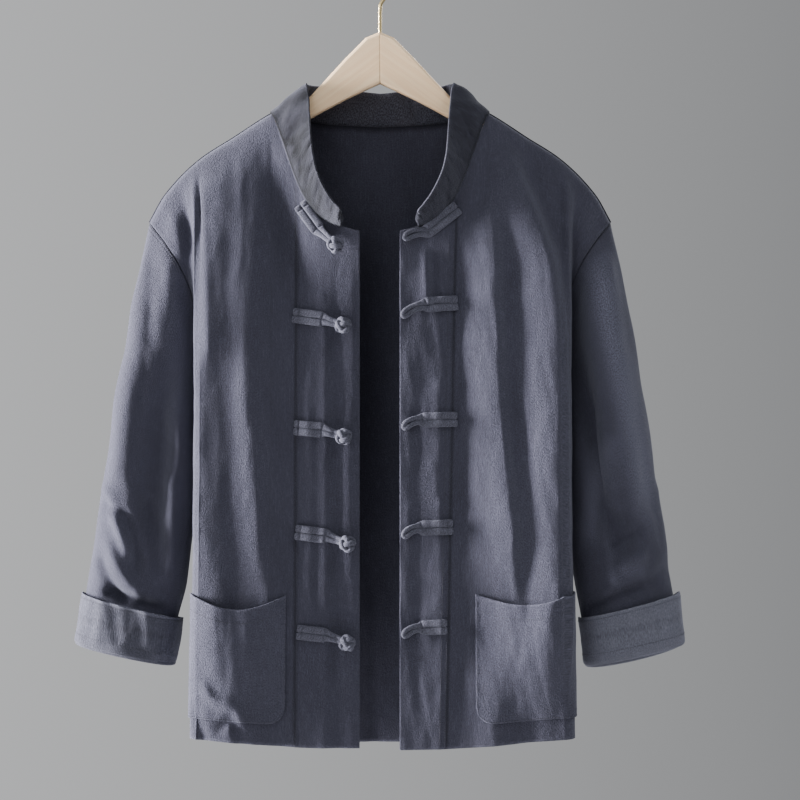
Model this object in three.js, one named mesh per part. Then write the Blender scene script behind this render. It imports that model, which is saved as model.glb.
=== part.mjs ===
import * as THREE from "three";

// A frog-button shirt of washed linen on its wooden hanger, in millimetres, +Z up, front facing -Y.
// The origin is the top of the inside of the hook's crook, where the hanger hangs on its rail.
// In the tables "down" is a depth below that origin, and x is a distance from the middle of the cloth.
// side is -1 for the wearer's right half, at -X, and +1 for the wearer's left half.

// Cloth and seams
const CLOTH = 1.5;
const COLLAR_CLOTH = 2.4;
const CUFF_CLOTH = 2.4;
const SEAM_GAP = 0.3;
const ARMHOLE_GAP = 0.55;
const COLLAR_GAP = 0.9;
const SEWN_GAP = 0.7;
const FROG_GAP = 1;

// Cut of the body: half the front opening, the neck's turn and corner, side fold, shoulder tip, armpit and hem
const OPENING_X = 22;
const NECK_TURN_X = 84;
const NECK_X = 121;
const FOLD_X = 202;
const TIP_X = 258;
const TIP_DOWN = 291;
const ARMPIT_DOWN = 500;
const HEM_DOWN = 870;
const HEM_SAG = 10;
const LEVEL_DOWN = 560;
const HELD_DROP = 40;

// Rows of cloth from the shoulder to the armpit, and from there to the hem
const ARMHOLE_ROWS = 9;
const BODY_ROWS = 8;

// A table with named columns: one object for each row.
function table(columns, rows) {
  const names = columns.split(" ");
  return rows.map((row) => Object.fromEntries(names.map((name, i) => [name, row[i]])));
}

// Shoulder seam and the line it would follow across the neck
const RIDGE = table("x down", [
  [0, 125],
  [60, 140],
  [NECK_X, 169],
  [165, 197],
  [202, 221],
  [241, 261],
  [TIP_X, TIP_DOWN],
]);

// Neck edges of the front and the back
const FRONT_NECK = table("x down", [
  [OPENING_X, 304],
  [44, 298],
  [58, 292.5],
  [69, 284],
  [84, 263],
  [95, 238],
  [106, 208],
  [115, 184],
  [NECK_X, 169],
]);
const BACK_NECK = table("x down", [
  [0, 181],
  [60, 178],
  [100, 172],
  [NECK_X, 169],
]);

// How far front and back stand off the hanger's plane at a drop below the shoulder line
const DEPTH = table("drop front back", [
  [0, 0.15, 0.15],
  [2.5, 9, 9],
  [7, 13.5, 13.5],
  [20, 19, 19],
  [40, 25, 26],
  [80, 35, 34],
  [120, 42, 38],
  [200, 50, 42],
  [300, 55, 44],
  [450, 58, 45],
  [750, 60, 46],
]);

// The front wraps round its side fold: fold, brow, cheek, valley, flare, and end at armhole or side seam
const FRONT_WRAP = table("down foldX browX browY cheekX cheekY valleyX valleyY flareX flareY endX endY", [
  [291, 202, 209, 0, 217.7, 0, 230, 0, 244, 0, 258, 0],
  [315, 202, 209, -33, 214, -29, 219, -22, 231, -31, 238.5, -26],
  [343, 202, 209.5, -38, 213.5, -33, 215.5, -25.5, 218.8, -24.5, 221, -20],
  [377, 202, 210, -42, 213.5, -36, 213, -27, 211, -19, 208.5, -12],
  [414, 202, 210, -45, 213.5, -38, 211.5, -27, 207, -15, 204, -4],
  [448, 202, 210, -47, 213.5, -40, 211, -28, 205, -13, 201.5, 2],
  [500, 202.5, 210, -49, 213.5, -41, 210, -28, 203.5, -11, 199, 8],
  [600, 203, 210.5, -51, 214, -43, 210.5, -29, 203, -11, 197.5, 8],
  [870, 206, 214, -54, 217, -46, 213, -31, 206, -12, 198, 8],
]);
const FRONT_STATIONS = [0, 0.125, 0.28, 0.5, 0.75, 1];

// The back turns in to the same seams: fold, bend and end
const BACK_WRAP = table("down foldX bendX bendY endX endY", [
  [291, 202, 230, 0, 258, 0],
  [315, 200, 225, 25, 245, 22],
  [343, 198, 219, 34, 233, 31],
  [377, 196, 212, 38, 221, 33],
  [414, 193, 205, 37, 210, 29],
  [448, 190, 200.5, 33, 204, 21],
  [500, 187, 197.5, 29, 199, 8],
  [870, 187, 196.5, 29, 198, 8],
]);
const BACK_STATIONS = [0, 0.5, 1];

// Largest folds: where each starts and ends, how wide it is, and how far it stands out or in
const RIGHT_FOLDS = table("top end x1 x2 width out", [
  [225, 700, 176, 182, 15, -7],
  [380, 730, 156, 132, 12, 7],
  [190, 720, 110, 115, 11, -7],
  [310, 1000, 64, 62, 12, 4],
  [320, 900, 46, 45, 12, -5],
  [770, 930, 160, 150, 20, 5],
]);
const LEFT_FOLDS = table("top end x1 x2 width out", [
  [280, 720, 110, 140, 17, 7],
  [240, 720, 143, 172, 11, -8],
  [215, 720, 176, 192, 13, 6],
  [250, 600, 90, 88, 9, -5],
  [255, 360, 58, 62, 9, -4],
  [700, 1000, 120, 128, 22, 5],
]);
const BACK_FOLDS = table("top end x1 x2 width out", [
  [230, 760, -150, -170, 16, 7],
  [210, 620, -104, -96, 13, -6],
  [300, 900, -40, -58, 15, 6],
  [220, 700, 30, 22, 14, -6],
  [260, 1000, 88, 104, 18, 7],
  [225, 800, 150, 168, 12, -7],
]);

// Centre lines of a sleeve: its outer edge, its underarm edge, and its depth to the front and the back
const SLEEVE = table("k outX outDown outY inX inDown inY front back valley", [
  [0, 258, 291, 0, 199, 500, 8, 40, 44, 0],
  [0.12, 267, 333, 3, 204, 522, 12, 42, 46, 5],
  [0.25, 277, 378, 5, 206, 550, 14, 44, 46, 9],
  [0.4, 288, 440, 6, 207, 584, 14, 44, 46, 11],
  [0.55, 298, 502, 7, 208.5, 618, 13, 43, 44, 12],
  [0.7, 310, 580, 8, 212, 655, 11, 41, 42, 9],
  [0.82, 321, 648, 8, 218, 694, 9, 39, 40, 4],
  [0.92, 329, 706, 8, 227, 733, 8, 37, 37, 1],
  [1, 338, 760, 8, 234, 783, 7, 36, 36, 0],
]);
const SLEEVE_RINGS = [0, 0.05, 0.12, 0.2, 0.3, 0.42, 0.55, 0.68, 0.8, 0.88, 0.94, 1];
const SLEEVE_SETTLES = 0.35;
const ARMHOLE_TURNS = 0.2;
const SLEEVE_ROUNDNESS = 0.8;
const VALLEY_AT = 0.56;
const VALLEY_WIDTH = 0.17;

// Turned-up cuffs: a profile from inside the mouth round the fold and up to the open edge
const CUFF_PROFILE = table("up out", [
  [0, -CUFF_CLOTH],
  [-2.6, -1.2],
  [-3.8, 1.2],
  [-2.4, 3.6],
  [1, 4.6],
  [18, 5.6],
  [36, 6.6],
  [54, 7],
]);
const MOUTH_FROM = 0.92;
const MOUTH_RINGS = [0.97, 1];

// How far the back of a sleeve's mouth hangs lower than its front, and where along the sleeve that starts
const MOUTH_BACK_DROP = { [-1]: 7, 1: 13 };
const MOUTH_DROPS_FROM = 0.6;

// Collar band: where its top edge stands, for each place along the neck seam
const COLLAR_EDGE = table("along x y down", [
  [0, 40, -68, 285],
  [0.1, 44, -76, 281],
  [0.22, 58, -76, 262],
  [0.36, 70, -68, 233],
  [0.5, 75, -51, 200],
  [0.6, 78, -30, 166],
  [0.68, 80, -6, 138],
  [0.76, 74, 15, 134],
  [0.88, 42, 27, 137],
  [1, 0, 27, 141],
]);
const COLLAR_START_X = 42;
const COLLAR_SHOULDER = 0.68;
const COLLAR_FRONT_PLACES = [0, 0.05, 0.1, 0.16, 0.22, 0.29, 0.36, 0.43, 0.5, 0.56, 0.62];
const COLLAR_PLACES = [...COLLAR_FRONT_PLACES, COLLAR_SHOULDER, 0.76, 0.84, 0.92];
const COLLAR_UPS = [0, 0.2, 0.5, 0.8, 1];
const COLLAR_BELLY = 2.5;
const COLLAR_SEAM_TURN = 0.9;
const COLLAR_POINT = { cut: 0.3, ends: 0.08 };

// Patch pockets: inner edge, mouth with its hang, bottom, corner radius and bag depth, for each side
const POCKETS = {
  [-1]: { name: "pocket_right", innerX: 102, mouth: 702, hang: 15, bottom: 847, corner: 20, bag: 9 },
  1: { name: "pocket_left", innerX: 104, mouth: 700, hang: 11, bottom: 846, corner: 20, bag: 9 },
};
const POCKET_EDGE = 3;
const POCKET_HANG_SPAN = 0.62;
const POCKET_BAG = { full: 0.3, eases: 0.5, ends: 0.75, settles: 0.35 };

// Frog fastenings: strip from its outer to its inner end, then the knot's ball or the loop's tip
const KNOTS = table("x1 down1 x2 down2 ballX ballDown", [
  [88, 274, 67, 303, 48, 321],
  [96, 396, 62, 401, 40, 408],
  [94, 520, 62, 523, 39, 530],
  [92, 634, 58, 638, 35, 646],
  [90, 742, 59, 745, 35, 753],
]);
const LOOPS = table("x1 down1 x2 down2 tipX tipDown", [
  [86, 279, 51, 306, 27, 313],
  [86, 383, 50, 386, 25, 398],
  [85, 511, 46, 512, 26, 520],
  [80, 628, 45, 629, 26, 637],
  [73, 735, 46, 736, 26, 744],
]);
const STRIP_HALF = 8.5;
const STRIP_STRAND = 2.6;
const STRIP_LOW = 1.1;
const STEM_RADIUS = 3.2;
const STEM_CLEAR = 1;
const BALL_RADIUS = 9.5;
const BALL_CLEAR = 3.2;
const BALL_ENDS = 0.94 * Math.PI;
const STRAND_RADIUS = 2.4;

// Half of a loop, from its strip to its tip: how far its strand is from the middle, and how high
const LOOP_GAP = 2;
const LOOP_HALF = table("share apart high", [
  [0, 2.8, 0.2],
  [0.3, 3, 0.8],
  [0.6, 3.9, 1.6],
  [0.84, 3.6, 2],
]);
const LOOP_TIP = { share: 0.94, high: 2.1 };

// Hanger: outline of the wood, its arms under the shoulder seams, its thickness and rounded edge
const WOOD = table("x top bottom", [
  [0, 78, 136],
  [15.7, 84.5, 143],
  [39, 108, 154],
  [61.6, 132.5, 166],
  [78, 150, 175],
  [95, 163, 184],
  [108, 171.5, 191],
  [NECK_X, 176, 199],
]);
const ARM_BOTTOM = table("x down", [
  [140, 209],
  [175, 230],
  [203, 247],
]);
const ARM_TOP = table("x under", [
  [140, 3.3],
  [160, 3.3],
  [180, 3.3],
  [198, 3.3],
  [207, 5.8],
  [211, 11.3],
]);
const WOOD_THICK = 12;
const WOOD_ROUND = 3;

// Hook: wire, shank and how far the crook runs round
const WIRE_RADIUS = 2.1;
const SHANK = table("x down", [
  [0, 60],
  [0.3, 49],
  [4.5, 41],
]);
const CROOK_RADIUS = 21;
const CROOK_START = -0.3 * Math.PI;
const CROOK_END = 1.12 * Math.PI;

const CLOTH_COLOUR = 0x4a4d5a;
const TRIM_COLOUR = 0x5d616f;
const WOOD_COLOUR = 0xe0c6a4;
const BRASS_COLOUR = 0xc9b367;

const { clamp, lerp, smoothstep } = THREE.MathUtils;

// Value at a place between stations: a monotone cubic curve, level past both ends.
function curveAt(places, values, at) {
  const last = places.length - 1;
  const inside = clamp(at, places[0], places[last]);
  const i = Math.min(
    places.findIndex((place, j) => j > 0 && inside <= place) - 1,
    last - 1,
  );
  const secant = (j) => (values[j + 1] - values[j]) / (places[j + 1] - places[j]);
  const tangent = (j) => {
    if (j === 0) return secant(0);
    if (j === last) return secant(last - 1);
    const before = secant(j - 1);
    const after = secant(j);
    return before * after <= 0 ? 0 : (2 * before * after) / (before + after);
  };
  const step = places[i + 1] - places[i];
  const t = (inside - places[i]) / step;
  const start = (1 + 2 * t) * (1 - t) ** 2 * values[i];
  const end = t * t * (3 - 2 * t) * values[i + 1];
  const leaving = t * (1 - t) ** 2 * step * tangent(i);
  const arriving = t * t * (t - 1) * step * tangent(i + 1);
  return start + end + leaving + arriving;
}

// One column of a table as a function of its first column.
function column(rows, name) {
  const key = Object.keys(rows[0])[0];
  const places = rows.map((row) => row[key]);
  const values = rows.map((row) => row[name]);
  return (at) => curveAt(places, values, at);
}

// Every column of a table as such a function.
function columns(rows) {
  return Object.fromEntries(Object.keys(rows[0]).map((name) => [name, column(rows, name)]));
}

const ridgeDown = column(RIDGE, "down");
const frontNeckDown = column(FRONT_NECK, "down");
const backNeckDown = column(BACK_NECK, "down");
const depth = columns(DEPTH);
const frontWrap = columns(FRONT_WRAP);
const backWrap = columns(BACK_WRAP);
const sleeve = columns(SLEEVE);
const collarEdge = columns(COLLAR_EDGE);

// How far the folds of a table push the cloth out at a place.
function foldsAt(folds, x, down) {
  return folds.reduce((sum, fold) => {
    const along = (down - fold.top) / (fold.end - fold.top);
    const middle = lerp(fold.x1, fold.x2, clamp(along, 0, 1));
    const fade = smoothstep(along, 0, 0.25) * (1 - smoothstep(along, 0.8, 1));
    return sum + fold.out * fade * Math.exp(-(((x - middle) / fold.width) ** 2));
  }, 0);
}

// Depth of row v at the shoulder tip's column: cosine steps to the armpit, even steps to the hem.
function levelAt(v) {
  if (v > ARMHOLE_ROWS) return lerp(ARMPIT_DOWN, HEM_DOWN, (v - ARMHOLE_ROWS) / BODY_ROWS);
  return lerp(TIP_DOWN, ARMPIT_DOWN, (1 - Math.cos((Math.PI * v) / ARMHOLE_ROWS)) / 2);
}

// Share of the top edge's rise or fall that a row still follows.
function liftAt(level) {
  return clamp((LEVEL_DOWN - level) / (LEVEL_DOWN - TIP_DOWN), 0, 1);
}

// Depth of row v at column x, below a top edge.
function downAt(topDown, x, v) {
  const level = levelAt(v);
  const body = clamp((level - ARMPIT_DOWN) / (HEM_DOWN - ARMPIT_DOWN), 0, 1);
  const sag = HEM_SAG * body ** 2 * (1 - (Math.min(Math.abs(x), TIP_X) / TIP_X) ** 2);
  return level + (topDown - TIP_DOWN) * liftAt(level) + sag;
}

const frontTop = (x) => (x < NECK_X ? frontNeckDown(x) : ridgeDown(x));
const backTop = (x) => (x < NECK_X ? backNeckDown(x) : ridgeDown(x));

// Row v that passes a depth at column x of the front.
function frontRowAt(x, down) {
  const rise = frontTop(x) - TIP_DOWN;
  const span = LEVEL_DOWN - TIP_DOWN;
  const lifted = (down - (rise * LEVEL_DOWN) / span) / (1 - rise / span);
  const level = lifted < LEVEL_DOWN ? lifted : down;
  if (level > ARMPIT_DOWN) {
    return ARMHOLE_ROWS + (BODY_ROWS * (level - ARMPIT_DOWN)) / (HEM_DOWN - ARMPIT_DOWN);
  }
  const share = clamp((level - TIP_DOWN) / (ARMPIT_DOWN - TIP_DOWN), 0, 1);
  return (ARMHOLE_ROWS * Math.acos(1 - 2 * share)) / Math.PI;
}

// Point of a front's outer face at column x and row v.
function frontPoint(side, x, v) {
  const level = levelAt(v);
  const down = downAt(frontTop(x), x, v);
  const drop = Math.max(down - ridgeDown(x), 0);
  const flatY = -depth.front(drop);
  if (x <= FOLD_X) {
    const folds = side < 0 ? RIGHT_FOLDS : LEFT_FOLDS;
    const spread = (frontWrap.foldX(level) - OPENING_X) / (FOLD_X - OPENING_X);
    const outX = OPENING_X + (x - OPENING_X) * spread;
    return new THREE.Vector3(side * outX, flatY - foldsAt(folds, x, down), -down);
  }
  const names = ["brow", "cheek", "valley", "flare", "end"];
  const share = (x - FOLD_X) / (TIP_X - FOLD_X);
  const xs = [frontWrap.foldX(level), ...names.map((name) => frontWrap[name + "X"](level))];
  const ys = [flatY, ...names.map((name) => frontWrap[name + "Y"](level))];
  const held = smoothstep(drop, 0, HELD_DROP);
  return new THREE.Vector3(
    side * curveAt(FRONT_STATIONS, xs, share),
    lerp(flatY, curveAt(FRONT_STATIONS, ys, share), held),
    -down,
  );
}

// Point of the back's outer face at column x, from -TIP_X to TIP_X, and row v.
function backPoint(x, v) {
  const side = Math.sign(x);
  const out = Math.abs(x);
  const level = levelAt(v);
  const down = downAt(backTop(out), x, v);
  const drop = Math.max(down - ridgeDown(out), 0);
  const flatY = depth.back(drop);
  if (out <= FOLD_X) {
    const spread = backWrap.foldX(level) / FOLD_X;
    return new THREE.Vector3(x * spread, flatY + foldsAt(BACK_FOLDS, x, down), -down);
  }
  const share = (out - FOLD_X) / (TIP_X - FOLD_X);
  const xs = [backWrap.foldX(level), backWrap.bendX(level), backWrap.endX(level)];
  const ys = [flatY, backWrap.bendY(level), backWrap.endY(level) + SEAM_GAP];
  const held = smoothstep(drop, 0, HELD_DROP);
  return new THREE.Vector3(
    side * curveAt(BACK_STATIONS, xs, share),
    lerp(flatY, curveAt(BACK_STATIONS, ys, share), held),
    -down,
  );
}

// Outward normal of the front at column x and row v, from small steps along both.
function frontNormal(side, x, v) {
  const across = frontPoint(side, Math.min(x + 1, TIP_X), v).sub(frontPoint(side, x - 1, v));
  const along = frontPoint(side, x, v + 0.05).sub(frontPoint(side, x, Math.max(v - 0.05, 0)));
  return across.cross(along).multiplyScalar(-side).normalize();
}

// Outward normal of the back at column x and row v.
function backNormal(x, v) {
  const across = backPoint(Math.min(x + 1, TIP_X), v).sub(backPoint(Math.max(x - 1, -TIP_X), v));
  const along = backPoint(x, v + 0.05).sub(backPoint(x, Math.max(v - 0.05, 0)));
  return across.cross(along).normalize();
}

// Normal that both panels take along the shoulder seam, square to it and in the plane of the hanger.
function ridgeNormal(side, x) {
  const slope = (ridgeDown(x + 1) - ridgeDown(x - 1)) / 2;
  return new THREE.Vector3(side * slope, 0, 1).normalize();
}

// Normal of a panel at its seams: shared on the shoulder and the side, its own elsewhere.
function seamNormal(side, x, v, own) {
  const out = Math.abs(x);
  if (v === 0 && out >= NECK_X) return ridgeNormal(side, out);
  if (out === TIP_X && v >= ARMHOLE_ROWS) return new THREE.Vector3(side, 0, 0);
  return own;
}

// Closed mesh between an outer and an inner grid of points, open at its edges or closed round a ring.
function shell(name, outer, inner, colour, isRing = false) {
  const rows = outer.length;
  const wide = outer[0].length;
  const vertices = [...outer.flat(), ...inner.flat()];
  const at = (i, j, isInner) => (isInner ? rows * wide : 0) + i * wide + (j % wide);
  const index = [];
  const quad = (a, b, c, d) => index.push(a, b, c, a, c, d);
  const last = isRing ? wide : wide - 1;
  for (let i = 0; i < rows - 1; i += 1) {
    for (let j = 0; j < last; j += 1) {
      quad(at(i, j), at(i, j + 1), at(i + 1, j + 1), at(i + 1, j));
      quad(at(i, j, true), at(i + 1, j, true), at(i + 1, j + 1, true), at(i, j + 1, true));
    }
  }
  for (let j = 0; j < last; j += 1) {
    quad(at(0, j), at(0, j, true), at(0, j + 1, true), at(0, j + 1));
    quad(at(rows - 1, j), at(rows - 1, j + 1), at(rows - 1, j + 1, true), at(rows - 1, j, true));
  }
  for (let i = 0; i < rows - 1 && !isRing; i += 1) {
    quad(at(i, 0), at(i + 1, 0), at(i + 1, 0, true), at(i, 0, true));
    quad(at(i, last), at(i, last, true), at(i + 1, last, true), at(i + 1, last));
  }
  return closedMesh(name, vertices, index, colour);
}

// Mesh of a closed surface, with its faces turned out.
function closedMesh(name, vertices, index, colour) {
  let volume = 0;
  for (let i = 0; i < index.length; i += 3) {
    const [a, b, c] = [vertices[index[i]], vertices[index[i + 1]], vertices[index[i + 2]]];
    volume += a.dot(b.clone().cross(c));
  }
  const turned = volume < 0 ? index.slice().reverse() : index;
  const geometry = new THREE.BufferGeometry().setFromPoints(vertices);
  geometry.setIndex(turned);
  geometry.computeVertexNormals();
  return meshOf(name, geometry, colour);
}

// Named mesh of cloth, wood or brass.
function meshOf(name, geometry, colour, metalness = 0, roughness = 0.85) {
  const material = new THREE.MeshStandardMaterial({ color: colour, metalness, roughness });
  const mesh = new THREE.Mesh(geometry, material);
  mesh.name = name;
  return mesh;
}

// Points of a grid moved along their normals.
function moved(points, normals, distance) {
  return points.map((row, i) =>
    row.map((point, j) => point.clone().addScaledVector(normals[i][j], distance)),
  );
}

// Normals of a grid from its neighbouring points, turned the way that sign says.
function gridNormals(points, sign, isRing = false) {
  const rows = points.length;
  const wide = points[0].length;
  return points.map((row, i) =>
    row.map((_, j) => {
      const after = isRing ? (j + 1) % wide : Math.min(j + 1, wide - 1);
      const before = isRing ? (j + wide - 1) % wide : Math.max(j - 1, 0);
      const across = row[after].clone().sub(row[before]);
      const above = points[Math.max(i - 1, 0)][j];
      const along = points[Math.min(i + 1, rows - 1)][j].clone().sub(above);
      return across.cross(along).normalize().multiplyScalar(sign);
    }),
  );
}

// Rows of the body panels, with one more just under the shoulder seam.
const panelRows = [0, 0.45];
for (let v = 1; v <= ARMHOLE_ROWS + BODY_ROWS; v += 1) panelRows.push(v);

// Even steps from one value to another.
function steps(from, to, count) {
  return Array.from({ length: count + 1 }, (_, i) => lerp(from, to, i / count));
}

const wrapColumns = steps(FOLD_X, TIP_X, 8).slice(1);
const frontColumns = [
  ...steps(OPENING_X, NECK_TURN_X, 9),
  ...steps(NECK_TURN_X, NECK_X, 5).slice(1),
  ...steps(NECK_X, FOLD_X, 9).slice(1),
  ...wrapColumns,
];

function makeFront(side) {
  const points = panelRows.map((v) => frontColumns.map((x) => frontPoint(side, x, v)));
  const normals = panelRows.map((v) =>
    frontColumns.map((x) => seamNormal(side, x, v, frontNormal(side, x, v))),
  );
  const name = side < 0 ? "front_right" : "front_left";
  return shell(name, points, moved(points, normals, -CLOTH), CLOTH_COLOUR);
}

function makeBack() {
  const half = [
    ...steps(0, NECK_X, 9),
    ...steps(NECK_X, FOLD_X, 6).slice(1),
    ...wrapColumns.filter((_, i) => i % 2),
  ];
  const wide = [...half.slice(1).reverse().map((x) => -x), ...half];
  const points = panelRows.map((v) => wide.map((x) => backPoint(x, v)));
  const normals = panelRows.map((v) =>
    wide.map((x) => seamNormal(Math.sign(x), x, v, backNormal(x, v))),
  );
  return shell("back", points, moved(points, normals, -CLOTH), CLOTH_COLOUR);
}

// Armhole seam round a ring: a runs from 0 at the shoulder tip down the front to 1, and up the back to 2.
function armholePoint(side, a) {
  if (a <= 1) return frontPoint(side, TIP_X, ARMHOLE_ROWS * a);
  return backPoint(side * TIP_X, ARMHOLE_ROWS * (2 - a));
}

function armholeNormal(side, a) {
  if (a === 0) return ridgeNormal(side, TIP_X - 1);
  if (a === 1) return new THREE.Vector3(side, 0, 0);
  if (a < 1) return frontNormal(side, TIP_X, ARMHOLE_ROWS * a);
  return backNormal(side * TIP_X, ARMHOLE_ROWS * (2 - a));
}

// How far round the armhole is from the shoulder, 0, to the armpit, 1.
function downRing(a) {
  return (1 - Math.cos(Math.PI * a)) / 2;
}

// Point of a sleeve's outer face: k runs from the armhole, 0, to the mouth, 1, and a runs round.
function sleevePoint(side, k, a) {
  const t = downRing(a);
  const isFront = a <= 1;
  const round = Math.abs(Math.sin(Math.PI * a)) ** SLEEVE_ROUNDNESS;
  const fromValley = (t - VALLEY_AT) / VALLEY_WIDTH;
  const groove = isFront ? sleeve.valley(k) * Math.exp(-(fromValley ** 2)) : 0;
  const out = isFront ? groove - sleeve.front(k) * round : sleeve.back(k) * round;
  const lower = isFront ? 0 : MOUTH_BACK_DROP[side] * round * smoothstep(k, MOUTH_DROPS_FROM, 1);
  const loose = new THREE.Vector3(
    side * lerp(sleeve.outX(k), sleeve.inX(k), t),
    lerp(sleeve.outY(k), sleeve.inY(k), t) + out,
    -lerp(sleeve.outDown(k), sleeve.inDown(k), t) - lower,
  );
  const moveX = lerp(sleeve.outX(k) - sleeve.outX(0), sleeve.inX(k) - sleeve.inX(0), t);
  const moveDown = lerp(sleeve.outDown(k) - TIP_DOWN, sleeve.inDown(k) - ARMPIT_DOWN, t);
  const sewn = armholePoint(side, a).add(new THREE.Vector3(side * moveX, 0, -moveDown));
  return sewn.lerp(loose, smoothstep(k, 0, SLEEVE_SETTLES));
}

const ringPlaces = steps(0, 2, 2 * ARMHOLE_ROWS).slice(0, -1);

function makeSleeve(side) {
  const points = SLEEVE_RINGS.map((k) => ringPlaces.map((a) => sleevePoint(side, k, a)));
  const normals = gridNormals(points, side, true);
  points[0].forEach((point, j) => {
    const a = ringPlaces[j];
    const panel = armholeNormal(side, a);
    const turn = smoothstep(downRing(a), 0, ARMHOLE_TURNS);
    const away = points[1][j].clone().sub(point).normalize();
    normals[0][j].multiplyScalar(turn).addScaledVector(panel, 1 - turn).normalize();
    point.addScaledVector(away, ARMHOLE_GAP * (1 - turn)).addScaledVector(panel, 2 * ARMHOLE_GAP * turn);
  });
  const name = side < 0 ? "sleeve_right" : "sleeve_left";
  return shell(name, points, moved(points, normals, -CLOTH), CLOTH_COLOUR, true);
}

// The cuff starts under the sleeve's mouth, turns out round its fold and stands up outside the sleeve.
function makeCuff(side) {
  const mouthNormals = gridNormals(
    MOUTH_RINGS.map((k) => ringPlaces.map((a) => sleevePoint(side, k, a))),
    side,
    true,
  )[1];
  const mouthLength = sleeve.outDown(1) - sleeve.outDown(MOUTH_FROM);
  const outer = CUFF_PROFILE.map(({ up, out }) =>
    ringPlaces.map((a, j) => {
      const k = 1 - ((1 - MOUTH_FROM) * Math.max(up, 0)) / mouthLength;
      const point = sleevePoint(side, k, a);
      point.z += Math.min(up, 0) - SEAM_GAP;
      return point.addScaledVector(mouthNormals[j], out);
    }),
  );
  const normals = gridNormals(outer, -side, true);
  normals[0] = mouthNormals.map((normal) => normal.clone().negate());
  const name = side < 0 ? "cuff_right" : "cuff_left";
  return shell(name, outer, moved(outer, normals, -CUFF_CLOTH), TRIM_COLOUR, true);
}

// Neck seam at a share along half the collar, from its front end to the middle of the back.
function neckSeam(side, along) {
  if (along <= COLLAR_SHOULDER) {
    const x = lerp(COLLAR_START_X, NECK_X, along / COLLAR_SHOULDER);
    return { point: frontPoint(side, x, 0), normal: frontNormal(side, x, 0) };
  }
  const x = side * lerp(NECK_X, 0, (along - COLLAR_SHOULDER) / (1 - COLLAR_SHOULDER));
  return { point: backPoint(x, 0), normal: backNormal(x, 0) };
}

function makeCollar() {
  const places = [
    ...COLLAR_PLACES.map((along) => ({ side: -1, along })),
    { side: -1, along: 1 },
    ...COLLAR_PLACES.slice().reverse().map((along) => ({ side: 1, along })),
  ];
  const seams = places.map(({ side, along }) => neckSeam(side, along));
  const edges = places.map(({ side, along }) =>
    new THREE.Vector3(side * collarEdge.x(along), collarEdge.y(along), -collarEdge.down(along)),
  );
  const points = COLLAR_UPS.map((up) =>
    places.map(({ along }, j) => {
      const start = seams[j].point.clone();
      const reach = edges[j].clone().sub(start);
      start.addScaledVector(reach.clone().normalize(), COLLAR_GAP);
      const belly = Math.sin(Math.PI * up) * COLLAR_BELLY;
      const atPoint = 1 - smoothstep(along, 0, COLLAR_POINT.ends);
      const rounded = 1 - COLLAR_POINT.cut * up ** 2 * atPoint;
      return start.addScaledVector(reach, up * rounded).addScaledVector(seams[j].normal, belly);
    }),
  );
  const normals = gridNormals(points, 1);
  seams.forEach(({ normal }, j) => {
    if (normals[0][j].dot(normal) < 0) normals.forEach((row) => row[j].negate());
    normals[0][j].lerp(normal, COLLAR_SEAM_TURN).normalize();
  });
  return shell("collar", points, moved(points, normals, -COLLAR_CLOTH), CLOTH_COLOUR);
}

// A patch pocket made from the front's points, moved out: sewn down round its edges, bagging at its mouth.
function makePocket(side) {
  const { name, innerX, mouth, hang, bottom, corner, bag } = POCKETS[side];
  const inside = frontColumns.filter((x) => x > innerX + POCKET_EDGE && x < TIP_X);
  const across = [innerX, ...inside, TIP_X - POCKET_EDGE];
  const ups = steps(0, 1, 8);
  const outer = [];
  const inner = [];
  ups.forEach((up) => {
    const rowOut = [];
    const rowIn = [];
    across.forEach((x) => {
      const share = (x - innerX) / (TIP_X - POCKET_EDGE - innerX);
      const fromEdge = Math.min(x - innerX, corner);
      const round = corner - Math.sqrt(corner ** 2 - (corner - fromEdge) ** 2);
      const mouthDown = mouth + hang * Math.sin(Math.PI * clamp(share / POCKET_HANG_SPAN, 0, 1));
      const down = lerp(mouthDown, bottom - round, up);
      const v = frontRowAt(x, down);
      const normal = frontNormal(side, x, v);
      const { full, eases, ends, settles } = POCKET_BAG;
      const sides = smoothstep(share, 0, full) * (1 - smoothstep(share, eases, ends));
      const bulge = SEWN_GAP + bag * sides * (1 - smoothstep(up, settles, 1));
      const base = frontPoint(side, x, v);
      rowIn.push(base.clone().addScaledVector(normal, bulge));
      rowOut.push(base.addScaledVector(normal, bulge + CLOTH));
    });
    outer.push(rowOut);
    inner.push(rowIn);
  });
  return shell(name, outer, inner, TRIM_COLOUR);
}

// Place above a front: column x, depth, and height off the cloth.
function overFront(side, x, down, height) {
  const v = frontRowAt(x, down);
  return frontPoint(side, x, v).addScaledVector(frontNormal(side, x, v), height);
}

// The sewn-down strip of a frog: two strands side by side with a groove between them.
function makeStrip(name, side, { x1, down1, x2, down2 }) {
  const length = Math.hypot(x2 - x1, down2 - down1);
  const across = [(down2 - down1) / length, -(x2 - x1) / length];
  const profile = table("offset high", [
    [-1, STRIP_LOW],
    [-0.75, STRIP_STRAND],
    [-0.25, STRIP_STRAND],
    [0, STRIP_LOW],
    [0.25, STRIP_STRAND],
    [0.75, STRIP_STRAND],
    [1, STRIP_LOW],
  ]);
  const grid = (height) =>
    steps(0, 1, 4).map((share) =>
      profile.map((station) => {
        const offset = station.offset * STRIP_HALF;
        const x = lerp(x1, x2, share) + across[0] * offset;
        const down = lerp(down1, down2, share) + across[1] * offset;
        return overFront(side, x, down, SEWN_GAP + height * station.high);
      }),
    );
  return shell(name, grid(1), grid(0), TRIM_COLOUR);
}

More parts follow.
